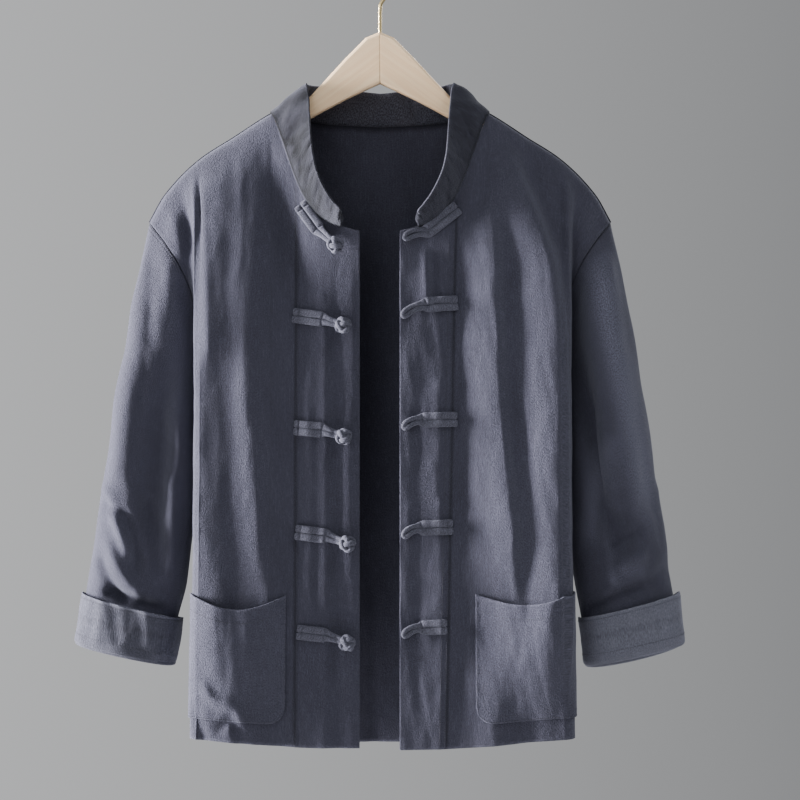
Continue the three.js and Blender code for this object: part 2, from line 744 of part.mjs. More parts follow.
// Closed round body along a path, with a radius at each point and a point at each end.
function turnedAlong(name, path, radii, up, colour, sides = 8) {
  const vertices = [];
  const index = [];
  path.forEach((point, i) => {
    const after = path[Math.min(i + 1, path.length - 1)];
    const before = path[Math.max(i - 1, 0)];
    const along = after.clone().sub(before).normalize();
    const right = along.clone().cross(up).normalize();
    const over = right.clone().cross(along);
    for (let j = 0; j < sides; j += 1) {
      const turn = (2 * Math.PI * j) / sides;
      vertices.push(
        point
          .clone()
          .addScaledVector(right, Math.cos(turn) * radii[i])
          .addScaledVector(over, Math.sin(turn) * radii[i]),
      );
    }
  });
  for (let i = 0; i < path.length - 1; i += 1) {
    for (let j = 0; j < sides; j += 1) {
      const a = i * sides + j;
      const b = i * sides + ((j + 1) % sides);
      index.push(a, b, b + sides, a, b + sides, a + sides);
    }
  }
  const start = vertices.push(path[0].clone()) - 1;
  const end = vertices.push(path[path.length - 1].clone()) - 1;
  const lastRing = (path.length - 1) * sides;
  for (let j = 0; j < sides; j += 1) {
    const next = (j + 1) % sides;
    index.push(start, next, j, end, lastRing + j, lastRing + next);
  }
  return closedMesh(name, vertices, index, colour);
}

// The stem and ball of a frog's knot, which hang off the front end of its strip.
function makeKnot(name, side, { x1, down1, x2, down2, ballX, ballDown }) {
  const length = Math.hypot(x2 - x1, down2 - down1);
  const startX = x2 + ((x2 - x1) / length) * FROG_GAP;
  const startDown = down2 + ((down2 - down1) / length) * FROG_GAP;
  const start = overFront(side, startX, startDown, STEM_RADIUS + STEM_CLEAR);
  const centre = overFront(side, ballX, ballDown, BALL_RADIUS + BALL_CLEAR);
  const up = frontNormal(side, ballX, frontRowAt(ballX, ballDown));
  const toBall = centre.clone().sub(start);
  const reach = toBall.length();
  toBall.normalize();
  const path = [start];
  const radii = [STEM_RADIUS * 0.9];
  const neck = Math.asin(STEM_RADIUS / BALL_RADIUS);
  path.push(start.clone().addScaledVector(toBall, (reach - BALL_RADIUS) * 0.5));
  radii.push(STEM_RADIUS);
  steps(neck, BALL_ENDS, 7).forEach((turn) => {
    path.push(centre.clone().addScaledVector(toBall, -Math.cos(turn) * BALL_RADIUS));
    radii.push(BALL_RADIUS * Math.sin(turn));
  });
  return turnedAlong(name, path, radii, up, TRIM_COLOUR);
}

// The loop of a frog: one strand out to the front edge and back, nearly closed.
function makeLoop(name, side, { x1, down1, x2, down2, tipX, tipDown }) {
  const reach = Math.hypot(tipX - x2, tipDown - down2);
  const ahead = [(tipX - x2) / reach, (tipDown - down2) / reach];
  const length = Math.hypot(x2 - x1, down2 - down1);
  const startX = x2 + ((x2 - x1) / length) * LOOP_GAP;
  const startDown = down2 + ((down2 - down1) / length) * LOOP_GAP;
  const strand = (share, apart, high) => {
    const x = lerp(startX, tipX, share) - ahead[1] * apart;
    const down = lerp(startDown, tipDown, share) + ahead[0] * apart;
    return overFront(side, x, down, STRAND_RADIUS + SEAM_GAP + high);
  };
  const points = [
    ...LOOP_HALF.map(({ share, apart, high }) => strand(share, apart, high)),
    strand(LOOP_TIP.share, 0, LOOP_TIP.high),
    ...LOOP_HALF.slice().reverse().map(({ share, apart, high }) => strand(share, -apart, high)),
  ];
  const curve = new THREE.CatmullRomCurve3(points);
  const circle = new THREE.Shape().absarc(0, 0, STRAND_RADIUS, 0, 2 * Math.PI);
  const geometry = new THREE.ExtrudeGeometry(circle, {
    steps: 14,
    curveSegments: 3,
    extrudePath: curve,
  });
  return meshOf(name, geometry, TRIM_COLOUR);
}

function makeHanger() {
  const topPoints = [
    ...WOOD.map(({ x, top }) => [x, top]),
    ...ARM_TOP.map(({ x, under }) => [x, ridgeDown(x) + under]),
  ];
  const bottomPoints = [
    ...WOOD.map(({ x, bottom }) => [x, bottom]),
    ...ARM_BOTTOM.map(({ x, down }) => [x, down]),
  ];
  const half = [...topPoints, ...bottomPoints.slice().reverse()];
  const outline = [
    ...half.map(([x, down]) => new THREE.Vector2(x, -down)),
    ...half.slice(1, -1).reverse().map(([x, down]) => new THREE.Vector2(-x, -down)),
  ];
  const geometry = new THREE.ExtrudeGeometry(new THREE.Shape(outline), {
    depth: WOOD_THICK - 2 * WOOD_ROUND,
    bevelThickness: WOOD_ROUND,
    bevelSize: WOOD_ROUND,
    bevelOffset: -WOOD_ROUND,
    bevelSegments: 2,
  });
  geometry.translate(0, 0, WOOD_ROUND - WOOD_THICK / 2);
  geometry.rotateX(Math.PI / 2);
  return meshOf("hanger", geometry, WOOD_COLOUR);
}

function makeHook() {
  const centreDown = CROOK_RADIUS - WIRE_RADIUS;
  const round = (turn) =>
    new THREE.Vector3(CROOK_RADIUS * Math.cos(turn), 0, CROOK_RADIUS * Math.sin(turn) - centreDown);
  const woodTop = WOOD[0].top;
  const points = [
    new THREE.Vector3(0, 0, -woodTop + SEAM_GAP),
    ...SHANK.map(({ x, down }) => new THREE.Vector3(x, 0, -down)),
    ...steps(CROOK_START, CROOK_END, 9).map(round),
  ];
  const wire = new THREE.Shape().absarc(0, 0, WIRE_RADIUS, 0, 2 * Math.PI);
  const geometry = new THREE.ExtrudeGeometry(wire, {
    steps: 28,
    curveSegments: 4,
    extrudePath: new THREE.CatmullRomCurve3(points),
  });
  return meshOf("hook", geometry, BRASS_COLOUR, 1, 0.35);
}

const shirt = new THREE.Group();
shirt.add(makeBack(), makeCollar());
for (const side of [-1, 1]) {
  shirt.add(makeFront(side), makeSleeve(side), makeCuff(side), makePocket(side));
}
KNOTS.forEach((knot, i) => {
  shirt.add(makeStrip(`knot_strip_${i + 1}`, -1, knot), makeKnot(`knot_${i + 1}`, -1, knot));
});
LOOPS.forEach((loop, i) => {
  shirt.add(makeStrip(`loop_strip_${i + 1}`, 1, loop), makeLoop(`loop_${i + 1}`, 1, loop));
});
shirt.add(makeHanger(), makeHook());

export default shirt;
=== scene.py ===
# A washed linen shirt with frog buttons, hanging on its wooden hanger. Lengths are in millimetres
# until a mesh is written. "down" is a depth below the hook's rest, and side is -1 for the wearer's
# right half, at -X, and +1 for the wearer's left half.
import bpy
import numpy as np
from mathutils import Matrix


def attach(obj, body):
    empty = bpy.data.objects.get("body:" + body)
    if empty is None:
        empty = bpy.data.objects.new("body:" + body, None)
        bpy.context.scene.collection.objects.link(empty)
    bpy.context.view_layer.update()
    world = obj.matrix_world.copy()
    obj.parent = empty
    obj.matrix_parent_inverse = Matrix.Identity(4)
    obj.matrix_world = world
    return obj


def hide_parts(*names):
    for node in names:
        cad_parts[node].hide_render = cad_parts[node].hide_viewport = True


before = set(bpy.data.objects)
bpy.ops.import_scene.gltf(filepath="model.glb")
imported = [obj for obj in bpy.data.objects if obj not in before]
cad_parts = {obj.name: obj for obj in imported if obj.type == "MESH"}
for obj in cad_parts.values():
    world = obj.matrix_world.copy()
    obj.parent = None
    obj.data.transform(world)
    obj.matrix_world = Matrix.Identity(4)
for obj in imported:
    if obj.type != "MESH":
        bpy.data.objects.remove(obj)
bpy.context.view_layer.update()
MM = 0.001

# Studio: the shirt hangs in plain grey air over a pale floor. A large soft light far out at its left
# grazes it, weak ones stand in front of it, above it and behind it, and grey light comes from all round.
camera_data = bpy.data.cameras.new("studio_camera")
camera_data.lens = 100
camera_data.sensor_width = 36
camera = bpy.data.objects.new("studio_camera", camera_data)
camera.location = (0.0224, -2.49, -0.490)
camera.rotation_euler = (np.pi / 2, 0, 0)
bpy.context.scene.collection.objects.link(camera)
bpy.context.scene.camera = camera


def soft_light(name, place, target, width, height, power, colour):
    """Rectangular light of a size, turned so that it faces from its place to its target."""
    data = bpy.data.lights.new(name, "AREA")
    data.shape = "RECTANGLE"
    data.size = width
    data.size_y = height
    data.energy = power
    data.color = colour
    light = bpy.data.objects.new(name, data)
    light.location = place
    aim = np.subtract(target, place)
    level = np.hypot(aim[0], aim[1])
    light.rotation_euler = (np.pi / 2 + np.arctan2(aim[2], level), 0, np.arctan2(-aim[0], aim[1]))
    bpy.context.scene.collection.objects.link(light)


def new_material(name):
    """A material, its node tree and its shader."""
    material = bpy.data.materials.new(name)
    material.use_nodes = True
    return material, material.node_tree, material.node_tree.nodes["Principled BSDF"]


def new_group(name, inputs, outputs):
    """Empty shader node group with named sockets."""
    group = bpy.data.node_groups.new(name, "ShaderNodeTree")
    for socket, kind in inputs:
        group.interface.new_socket(socket, in_out="INPUT", socket_type="NodeSocket" + kind)
    for socket, kind in outputs:
        group.interface.new_socket(socket, in_out="OUTPUT", socket_type="NodeSocket" + kind)
    return group, group.nodes.new("NodeGroupInput"), group.nodes.new("NodeGroupOutput")


def feed(tree, node, inputs):
    """Links a node's inputs to other nodes' sockets, or sets them to plain values."""
    for name, source in inputs.items():
        if isinstance(source, bpy.types.NodeSocket):
            tree.links.new(source, node.inputs[name])
        else:
            node.inputs[name].default_value = source


def add_node(tree, kind, inputs, **settings):
    """A new shader node of a kind, with its settings made and its inputs fed."""
    node = tree.nodes.new("ShaderNode" + kind)
    for name, value in settings.items():
        setattr(node, name, value)
    feed(tree, node, inputs)
    return node


def place_socket(tree, kind):
    """Where the point to be shaded lies, in one of Blender's own systems."""
    return add_node(tree, "TexCoord", {}).outputs[kind]


def math_node(tree, operation, first, second=0.0, clamp=False):
    """One step of arithmetic on two sockets or values."""
    return add_node(tree, "Math", {0: first, 1: second}, operation=operation, use_clamp=clamp).outputs[0]


def scaled(tree, source, factor, shift=0.0):
    """A socket times a factor, plus a shift."""
    product = math_node(tree, "MULTIPLY", source, factor)
    return math_node(tree, "ADD", product, shift) if shift else product


def noise_node(tree, vector, stretch, detail=2.0, roughness=0.5):
    """Noise, 0 to 1, with so many cells to a metre along each way of a vector."""
    stretched = add_node(tree, "Mapping", {"Vector": vector, "Scale": stretch}).outputs[0]
    inputs = {"Vector": stretched, "Scale": 1, "Detail": detail, "Roughness": roughness}
    return add_node(tree, "TexNoise", inputs).outputs[0]


def level_node(tree, value, low, high, kind="SMOOTHSTEP"):
    """0 below low and 1 above high, with a smooth step between, or a plain slope if LINEAR."""
    inputs = {"Value": value, "From Min": low, "From Max": high}
    return add_node(tree, "MapRange", inputs, interpolation_type=kind).outputs["Result"]


def mix_node(tree, amount, first, second):
    """A colour that goes from the first to the second as amount goes from 0 to 1."""
    return add_node(tree, "Mix", {0: amount, 6: first, 7: second}, data_type="RGBA").outputs[2]


def bump_node(tree, height, strength, distance):
    """A normal tilted by a relief in which a height of 1 stands a distance in metres high."""
    inputs = {"Height": height, "Strength": strength, "Distance": distance}
    return add_node(tree, "Bump", inputs).outputs["Normal"]


soft_light("window_light", (-4.6, -0.25, -0.3), (0, 0, -0.45), 1.0, 2.0, 1700, (1, 0.98, 0.995))
soft_light("front_light", (-1.2, -3.6, 0.1), (0.1, 0, -0.5), 1.6, 1.6, 20, (0.93, 0.97, 1))
soft_light("top_light", (1.7, -1.1, 1.9), (0.3, 0, -0.45), 1.2, 1.2, 34, (0.95, 0.97, 1))
soft_light("back_light", (1.6, 2.4, 0.9), (0, 0, -0.45), 1.6, 1.6, 40, (1, 1, 1))

world = bpy.data.worlds.new("studio_air")
bpy.context.scene.world = world
world.use_nodes = True
air = world.node_tree
across_air = add_node(air, "SeparateXYZ", {0: place_socket(air, "Generated")}).outputs["X"]
air_side = level_node(air, across_air, -0.2, 0.2, "LINEAR")
air_colour = mix_node(air, air_side, (0.555, 0.56, 0.57, 1), (0.26, 0.264, 0.272, 1))
feed(air, air.nodes["Background"], {"Color": air_colour, "Strength": 1})

turn = np.linspace(0, 2 * np.pi, 64, endpoint=False)
rim = np.stack([2.5 * np.cos(turn), 2.5 * np.sin(turn), np.full(64, -1.9)], 1)
floor_mesh = bpy.data.meshes.new("floor")
floor_mesh.from_pydata(rim.tolist(), [], [list(range(64))])
floor = bpy.data.objects.new("floor", floor_mesh)
bpy.context.scene.collection.objects.link(floor)
floor_paint, floor_tree, floor_shader = new_material("pale_floor")
feed(floor_tree, floor_shader, {"Base Color": (0.55, 0.55, 0.56, 1), "Roughness": 0.8})
floor_mesh.materials.append(floor_paint)

# Back: one wide panel of linen, sewn to the fronts at the shoulders and sides, with its neck edge in
# the collar. It hangs from the shoulders in long soft folds, and its hem sags a little.
OPENING_X, NECK_X, FOLD_X, TIP_X = 22, 121, 202, 258
TIP_DOWN, ARMPIT_DOWN, HEM_DOWN, LEVEL_DOWN = 291, 500, 870, 560
ARMHOLE_ROWS, BODY_ROWS = 9, 8
CLOTH = 1.3
SIDES = ((-1, "right"), (1, "left"))


def smoothstep(at, start, end):
    """0 before start and 1 after end, with 3t^2 - 2t^3 between."""
    t = np.clip((at - start) / (end - start), 0, 1)
    return t * t * (3 - 2 * t)


def curve_at(places, values, at):
    """Monotone cubic through values at places, level past both ends.

    Inner slopes are the harmonic mean of the two secants, or 0 where they differ in sign. values
    holds one number for each place, or one whole array as large as at."""
    places = np.asarray(places, float)
    at = np.asarray(at, float)
    values = np.asarray(values, float)
    if values.ndim == 1:
        values = values.reshape(-1, *[1] * at.ndim) + np.zeros(at.shape)
    inside = np.clip(at, places[0], places[-1])
    i = np.clip(np.searchsorted(places, inside) - 1, 0, len(places) - 2)
    secant = np.diff(values, axis=0) / np.diff(places).reshape(-1, *[1] * at.ndim)
    before, after = secant[:-1], secant[1:]
    both = before + after
    mean = 2 * before * after / np.where(both == 0, 1, both)
    slope = np.concatenate([secant[:1], np.where(before * after > 0, mean, 0), secant[-1:]])
    step = places[i + 1] - places[i]

    def pick(rows, shift):
        return np.take_along_axis(rows, i[None] + shift, 0)[0]

    t = (inside - places[i]) / step
    start = (1 + 2 * t) * (1 - t) ** 2 * pick(values, 0) + t * (1 - t) ** 2 * step * pick(slope, 0)
    end = t * t * (3 - 2 * t) * pick(values, 1) + t * t * (t - 1) * step * pick(slope, 1)
    return start + end


def columns(names, rows):
    """One function for each column of a table: its value at a value of the first column."""
    cells = np.array(rows, float).T
    return {name: lambda at, values=values: curve_at(cells[0], values, at)
            for name, values in zip(names.split(), cells)}


ridge = columns("x down", [
    (0, 125), (60, 140), (121, 169), (165, 197), (202, 221), (241, 261), (258, 291),
])["down"]
back_neck = columns("x down", [(0, 181), (60, 178), (100, 172), (121, 169)])["down"]
depth = columns("drop front back", [
    (0, 0.15, 0.15), (2.5, 9, 9), (7, 13.5, 13.5), (20, 19, 19), (40, 25, 26), (80, 35, 34),
    (120, 42, 38), (200, 50, 42), (300, 55, 44), (450, 58, 45), (750, 60, 46),
])
back_wrap = columns("down foldX bendX bendY endX endY", [
    (291, 202, 230, 0, 258, 0),
    (315, 200, 225, 25, 245, 22),
    (343, 198, 219, 34, 233, 31),
    (377, 196, 212, 38, 221, 33),
    (414, 193, 205, 37, 210, 29),
    (448, 190, 200.5, 33, 204, 21),
    (500, 187, 197.5, 29, 199, 8),
    (870, 187, 196.5, 29, 198, 8),
])


def level_of(v):
    """Depth of row v at the shoulder tip: cosine steps to the armpit, even steps to the hem."""
    arm = TIP_DOWN + (ARMPIT_DOWN - TIP_DOWN) * (1 - np.cos(np.pi * v / ARMHOLE_ROWS)) / 2
    body = ARMPIT_DOWN + (HEM_DOWN - ARMPIT_DOWN) * (v - ARMHOLE_ROWS) / BODY_ROWS
    return np.where(v > ARMHOLE_ROWS, body, arm)


def down_of(top_down, x, v):
    """Depth of row v at column x: its level, the share of the top edge's rise that it still
    follows, and the sag of the hem."""
    level = level_of(v)
    lift = np.clip((LEVEL_DOWN - level) / (LEVEL_DOWN - TIP_DOWN), 0, 1)
    body = np.clip((level - ARMPIT_DOWN) / (HEM_DOWN - ARMPIT_DOWN), 0, 1)
    sag = 10 * body**2 * (1 - (np.minimum(abs(x), TIP_X) / TIP_X) ** 2)
    return level + (top_down - TIP_DOWN) * lift + sag


def length_along(path):
    """Length of a path from its start to each of its points."""
    return np.concatenate([[0], np.cumsum(np.linalg.norm(np.diff(path, axis=0), axis=-1))])


def creases(x, down, folds):
    """How far folds push the cloth out. Each is a height, a half width on either side of its middle
    line, and that line's (x, down) points. It adds the height times exp(-(distance / half width)^2),
    which fades in over the line's first fifth and out over its last."""
    total = np.zeros(np.broadcast(x, down).shape)
    for height, left, right, *path in folds:
        path = np.array(path, float)
        run = length_along(path)
        fine = np.linspace(0, run[-1], 25)
        px, py = curve_at(run, path[:, 0], fine), curve_at(run, path[:, 1], fine)
        nearest = np.full(total.shape, 1e9)
        along = np.zeros(total.shape)
        aside = np.zeros(total.shape)
        for n in range(24):
            dx, dy = px[n + 1] - px[n], py[n + 1] - py[n]
            length = np.hypot(dx, dy)
            t = np.clip(((x - px[n]) * dx + (down - py[n]) * dy) / length**2, 0, 1)
            far = np.hypot(x - px[n] - t * dx, down - py[n] - t * dy)
            closer = far < nearest
            nearest = np.where(closer, far, nearest)
            along = np.where(closer, (n + t) / 24, along)
            aside = np.where(closer, (x - px[n]) * dy - (down - py[n]) * dx, aside)
        width = np.where(aside > 0, right, left)
        fade = smoothstep(along, 0, 0.2) * (1 - smoothstep(along, 0.78, 1))
        total += height * fade * np.exp(-((nearest / width) ** 2))
    return total


def crumple(x, down, seed, height=0.5):
    """Washed linen's small unevenness: twenty-four sine waves, 14 to 120 mm long, mostly upright,
    each bent by the one before it and higher the longer it is."""
    dice = np.random.default_rng(seed)
    total = np.zeros(np.broadcast(x, down).shape)
    bend = 0.0
    for _ in range(24):
        length = 14 + 106 * dice.random() ** 1.2
        turn = dice.normal(0, 0.7)
        phase = dice.random() * 2 * np.pi
        wave = np.sin((x * np.cos(turn) + down * 0.6 * np.sin(turn)) * 2 * np.pi / length + phase + bend)
        total += wave * (length / 120) ** 1.3
        bend = 0.9 * wave
    return total * height / 2


def back_point(x, v):
    """Back's outer face: its depth off the hanger's plane out to the side fold, then round the fold
    through a bend to the armhole or the side seam."""
    out = abs(x)
    side = np.where(x < 0, -1, 1)
    level = level_of(v)
    top = np.where(out < NECK_X, back_neck(out), ridge(out))
    down = down_of(top, out, v)
    drop = np.maximum(down - ridge(out), 0)
    flat_y = depth["back"](drop)
    share = np.clip((out - FOLD_X) / (TIP_X - FOLD_X), 0, 1)
    xs = [back_wrap[name](level) for name in ("foldX", "bendX", "endX")]
    ys = [flat_y, back_wrap["bendY"](level), back_wrap["endY"](level) - 0.2]
    held = smoothstep(drop, 0, 40)
    wrap_y = flat_y + (curve_at([0, 0.5, 1], ys, share) - flat_y) * held
    is_wrap = out > FOLD_X
    place_x = np.where(is_wrap, curve_at([0, 0.5, 1], xs, share), out * xs[0] / FOLD_X)
    return np.stack([side * place_x, np.where(is_wrap, wrap_y, flat_y), -down], -1)


def grid_normals(points, is_ring=False):
    """Unit cross product of the steps across and along a grid."""
    if is_ring:
        padded = np.concatenate([points[:, -1:], points, points[:, :1]], 1)
        across = (padded[:, 2:] - padded[:, :-2]) / 2
    else:
        across = np.gradient(points, axis=1)
    normal = np.cross(across, np.gradient(points, axis=0))
    return normal / np.maximum(np.linalg.norm(normal, axis=-1, keepdims=True), 1e-9)


def length_down(points):
    """Length of cloth from a grid's first row to each of its points, seen from the side."""
    steps = np.linalg.norm(np.diff(points[..., 1:], axis=0), axis=-1)
    return np.concatenate([np.zeros((1, points.shape[1])), np.cumsum(steps, 0)])


def length_round(points, row):
    """Length of cloth round one row of a ring's grid to each of its columns, for all its rows."""
    steps = np.linalg.norm(np.diff(points[row], axis=0, append=points[row, :1]), axis=-1)
    return np.broadcast_to(np.cumsum(steps) - steps, points.shape[:2])


def new_piece(name, points, faces, places=None, wear_and_painted_light=None):
    """Smooth object of points and faces, with each corner's place on the flat cloth as UV, in metres,
    and each point's wear and painted light and shade as one attribute."""
    mesh = bpy.data.meshes.new(name)
    mesh.from_pydata((points * MM).tolist(), [], faces)
    if places is not None:
        mesh.uv_layers.new(name="cloth")
        mesh.uv_layers["cloth"].data.foreach_set("uv", places.ravel() * MM)
        painted_light_and_wear = mesh.attributes.new("wear_and_painted_light", "FLOAT", "POINT")
        painted_light_and_wear.data.foreach_set("value", wear_and_painted_light.ravel())
    mesh.polygons.foreach_set("use_smooth", np.ones(len(mesh.polygons), bool))
    piece = bpy.data.objects.new(name, mesh)
    bpy.context.scene.collection.objects.link(piece)
    return piece


def grid_mesh(name, points, flat, wear_and_painted_light, is_ring=False, flip=False):
    """Piece of a grid of points, from its place on the flat cloth and its wear, grids too. A ring's last
    column joins its first."""
    rows, wide = points.shape[:2]
    last = wide if is_ring else wide - 1
    i, j = np.meshgrid(np.arange(rows - 1), np.arange(last), indexing="ij")
    after = (j + 1) % wide
    quads = np.stack([i * wide + j, i * wide + after, (i + 1) * wide + after, (i + 1) * wide + j], -1)
    u = np.stack([flat[0][i, j], flat[0][i, after], flat[0][i + 1, after], flat[0][i + 1, j]], -1)
    v = np.stack([flat[1][i, j], flat[1][i, after], flat[1][i + 1, after], flat[1][i + 1, j]], -1)
    if is_ring:
        seam = flat[0][:, -1] * 2 - flat[0][:, -2]
        u[:, -1, 1], u[:, -1, 2] = seam[:-1], seam[1:]
    if flip:
        quads, u, v = quads[..., ::-1], u[..., ::-1], v[..., ::-1]
    return new_piece(name, points.reshape(-1, 3), quads.reshape(-1, 4).tolist(), np.stack([u, v], -1), wear_and_painted_light)


def thicken(piece, cloth):
    """Gives a sheet its thickness on the side that its faces turn away from."""
    solid = piece.modifiers.new("cloth", "SOLIDIFY")
    solid.thickness = cloth * MM
    solid.offset = -1
    solid.use_rim = True
    return piece


# The weave is plain and crinkled, in uneven flax: thick slubs run with the warp, thin ones with the
# weft. Over 0, the painted light and wear input pales the tops of the threads: dye rubbed off at edges,
# and painted highlights on some fold ridges. Under 0 it darkens them as painted shade in seams and creases.
weave, given, made = new_group(
    "slub_weave",
    [("Place", "Vector"), ("Cloth", "Color"), ("Slub", "Color"), ("Worn and highlit thread", "Color"),
     ("Painted light and wear", "Float")],
    [("Colour", "Color"), ("Height", "Float"), ("Roughness", "Float")],
)
place = given.outputs["Place"]
warp_slub = noise_node(weave, place, (620, 70, 1), 3, 0.6)
weft_slub = noise_node(weave, place, (80, 700, 1), 2, 0.5)
warp_fine = noise_node(weave, place, (1500, 260, 1), 1, 0.5)
weft_fine = noise_node(weave, place, (260, 1500, 1), 1, 0.5)
fuzz = noise_node(weave, place, (900, 560, 1), 3, 0.75)
cloud = noise_node(weave, place, (26, 14, 1), 3, 0.5)
slubs = scaled(weave, level_node(weave, warp_slub, 0.46, 0.76), 0.6)
slubs = math_node(weave, "ADD", slubs, scaled(weave, level_node(weave, weft_slub, 0.5, 0.8), 0.35))
slubbed = math_node(weave, "MULTIPLY", slubs, 0.6, True)
spun_colour = mix_node(weave, slubbed, given.outputs["Cloth"], given.outputs["Slub"])
brighter = math_node(weave, "ADD", scaled(weave, cloud, 0.4), scaled(weave, fuzz, 2.0, -0.2))
# Painted shade: a wear input under 0 darkens the threads.
shadowed = math_node(weave, "ADD", math_node(weave, "MINIMUM", given.outputs["Painted light and wear"], 0.0), 1.0)
lit = math_node(weave, "MULTIPLY", brighter, shadowed)
shade = add_node(weave, "HueSaturation", {"Color": spun_colour, "Value": lit})
# Painted highlight and rubbed dye: the threads go to the pale thread colour where the input is over 0.
rubbed_and_highlit = math_node(weave, "MULTIPLY", given.outputs["Painted light and wear"], level_node(weave, fuzz, 0.36, 0.66), True)
dyed = mix_node(weave, rubbed_and_highlit, shade.outputs["Color"], given.outputs["Worn and highlit thread"])
crepe = noise_node(weave, place, (760, 420, 1), 4, 0.62)
threads = scaled(weave, math_node(weave, "ADD", warp_fine, weft_fine), 0.2)
threads = math_node(weave, "ADD", threads, scaled(weave, slubs, 0.12))
feed(weave, made, {"Colour": dyed, "Height": math_node(weave, "ADD", threads, scaled(weave, crepe, 1.6)),
                   "Roughness": scaled(weave, fuzz, 0.12, 0.82)})


def linen(name, cloth, slub, wear_and_painted_light, bump=0.9):
    """Woven flax in its own colours, read along the piece's flat cloth."""
    material, tree, shader = new_material(name)
    # This attribute holds real wear and painted light and shade together.
    painted_light_and_wear = add_node(tree, "Attribute", {}, attribute_name="wear_and_painted_light").outputs["Fac"]
    group = add_node(tree, "Group", {}, node_tree=weave)
    feed(tree, group, {"Place": place_socket(tree, "UV"), "Cloth": (*cloth, 1), "Slub": (*slub, 1),
                       "Worn and highlit thread": (*wear_and_painted_light, 1), "Painted light and wear": painted_light_and_wear})
    feed(tree, shader, {"Base Color": group.outputs["Colour"], "Roughness": group.outputs["Roughness"],
                        "Normal": bump_node(tree, group.outputs["Height"], bump, 0.001),
                        "Specular IOR Level": 0.12, "Sheen Weight": 0.2, "Sheen Roughness": 0.5,
                        "Sheen Tint": (0.8, 0.83, 1, 1)})
    return material


shirt_cloth = linen("slate_linen", (0.045, 0.045, 0.064), (0.09, 0.091, 0.13), (0.16, 0.163, 0.22))


def finish_piece(piece, material, slot, *nodes):
    """Paints a piece, hides the imported parts of the nodes it stands for, and rides it on the one body."""
    piece.data.materials.append(material)
    if nodes:
        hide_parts(*nodes)
    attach(piece, "root")


def finish_cloth(piece, material, slot, node):
    """Finishes a sheet with finish_piece."""
    finish_piece(piece, material, slot, node)


def edge_wear(*distances):
    """How worn the cloth is near its sewn and folded edges: 0.45 on an edge, gone 3 mm from it."""
    return 0.45 * np.max([np.exp(-((distance / 1.8) ** 2)) for distance in distances], 0)


BACK_FOLDS = [
    (7, 16, 16, (-150, 230), (-158, 480), (-170, 760)),
    (-6, 13, 13, (-104, 210), (-98, 400), (-96, 620)),
    (6, 15, 15, (-40, 300), (-50, 600), (-58, 900)),
    (-6, 14, 14, (30, 220), (28, 450), (22, 700)),
    (7, 18, 18, (88, 260), (92, 600), (104, 1000)),
    (-7, 12, 12, (150, 225), (156, 500), (168, 800)),
    (2.5, 6, 14, (-120, 260), (-70, 330), (-20, 350)),
    (-2.2, 7, 10, (-128, 300), (-80, 365), (-35, 385)),
    (2.5, 14, 6, (124, 250), (80, 320), (26, 345)),
    (3, 5, 12, (-182, 470), (-140, 520), (-112, 600)),
    (3, 12, 5, (184, 465), (146, 520), (120, 610)),
    (2.5, 6, 10, (-20, 640), (-8, 740), (-14, 1000)),
    (-2.5, 9, 9, (60, 620), (66, 760), (60, 1000)),
]
body_rows = np.concatenate([np.linspace(0, 9, 71), np.linspace(9, 17, 111)[1:]])
back_across = np.concatenate([np.linspace(-258, -202, 20)[:-1], np.linspace(-202, 202, 150),
                              np.linspace(202, 258, 20)[1:]])
x, v = np.meshgrid(back_across, body_rows)
points = back_point(x, v)
down = -points[..., 2]
normal = grid_normals(points)
normal = normal * np.where(normal[..., 1:2] < -0.2, -1, 1)
loose = smoothstep(down - ridge(abs(x)), 4, 60) * (1 - smoothstep(abs(x), 215, 252))
out = creases(x, down, BACK_FOLDS) * loose + crumple(x, down, 3, 0.45) * loose
points = points + normal * out[..., None]
run = length_down(points)
# Paler on the fold crests, partly wear and partly a painted highlight; the top 9 mm, under the collar's lap,
# is darkened as painted shade.
wear_and_painted_light = edge_wear(run[-1:] - run) + 0.12 * smoothstep(out, 2, 7) - 0.7 * (1 - smoothstep(run, 0, 9))
back = thicken(grid_mesh("back_panel", points, (x, -run), wear_and_painted_light, flip=True), CLOTH)
finish_cloth(back, shirt_cloth, "shirt cloth", "back")

# Fronts: two panels that don't meet, so the shirt hangs open. Each has a wide turned placket down its
# front edge, is sewn to the back at shoulder and side, and wraps round its side fold to get there.
front_neck = columns("x down", [
    (22, 304), (44, 298), (58, 292.5), (69, 284), (84, 263), (95, 238), (106, 208), (115, 184), (121, 169),
])["down"]
front_wrap = columns("down foldX browX browY cheekX cheekY valleyX valleyY flareX flareY endX endY", [
    (291, 202, 209, 0, 217.7, 0, 230, 0, 244, 0, 258, 0),
    (315, 202, 209, -33, 214, -29, 219, -22, 231, -31, 238.5, -26),
    (343, 202, 209.5, -38, 213.5, -33, 215.5, -25.5, 218.8, -24.5, 221, -20),
    (377, 202, 210, -42, 213.5, -36, 213, -27, 211, -19, 208.5, -12),
    (414, 202, 210, -45, 213.5, -38, 211.5, -27, 207, -15, 204, -4),
    (448, 202, 210, -47, 213.5, -40, 211, -28, 205, -13, 201.5, 2),
    (500, 202.5, 210, -49, 213.5, -41, 210, -28, 203.5, -11, 199, 8),
    (600, 203, 210.5, -51, 214, -43, 210.5, -29, 203, -11, 197.5, 8),
    (870, 206, 214, -54, 217, -46, 213, -31, 206, -12, 198, 8),
])
WRAP_STATIONS = (0, 0.125, 0.28, 0.5, 0.75, 1)
WRAP_NAMES = ("brow", "cheek", "valley", "flare", "end")
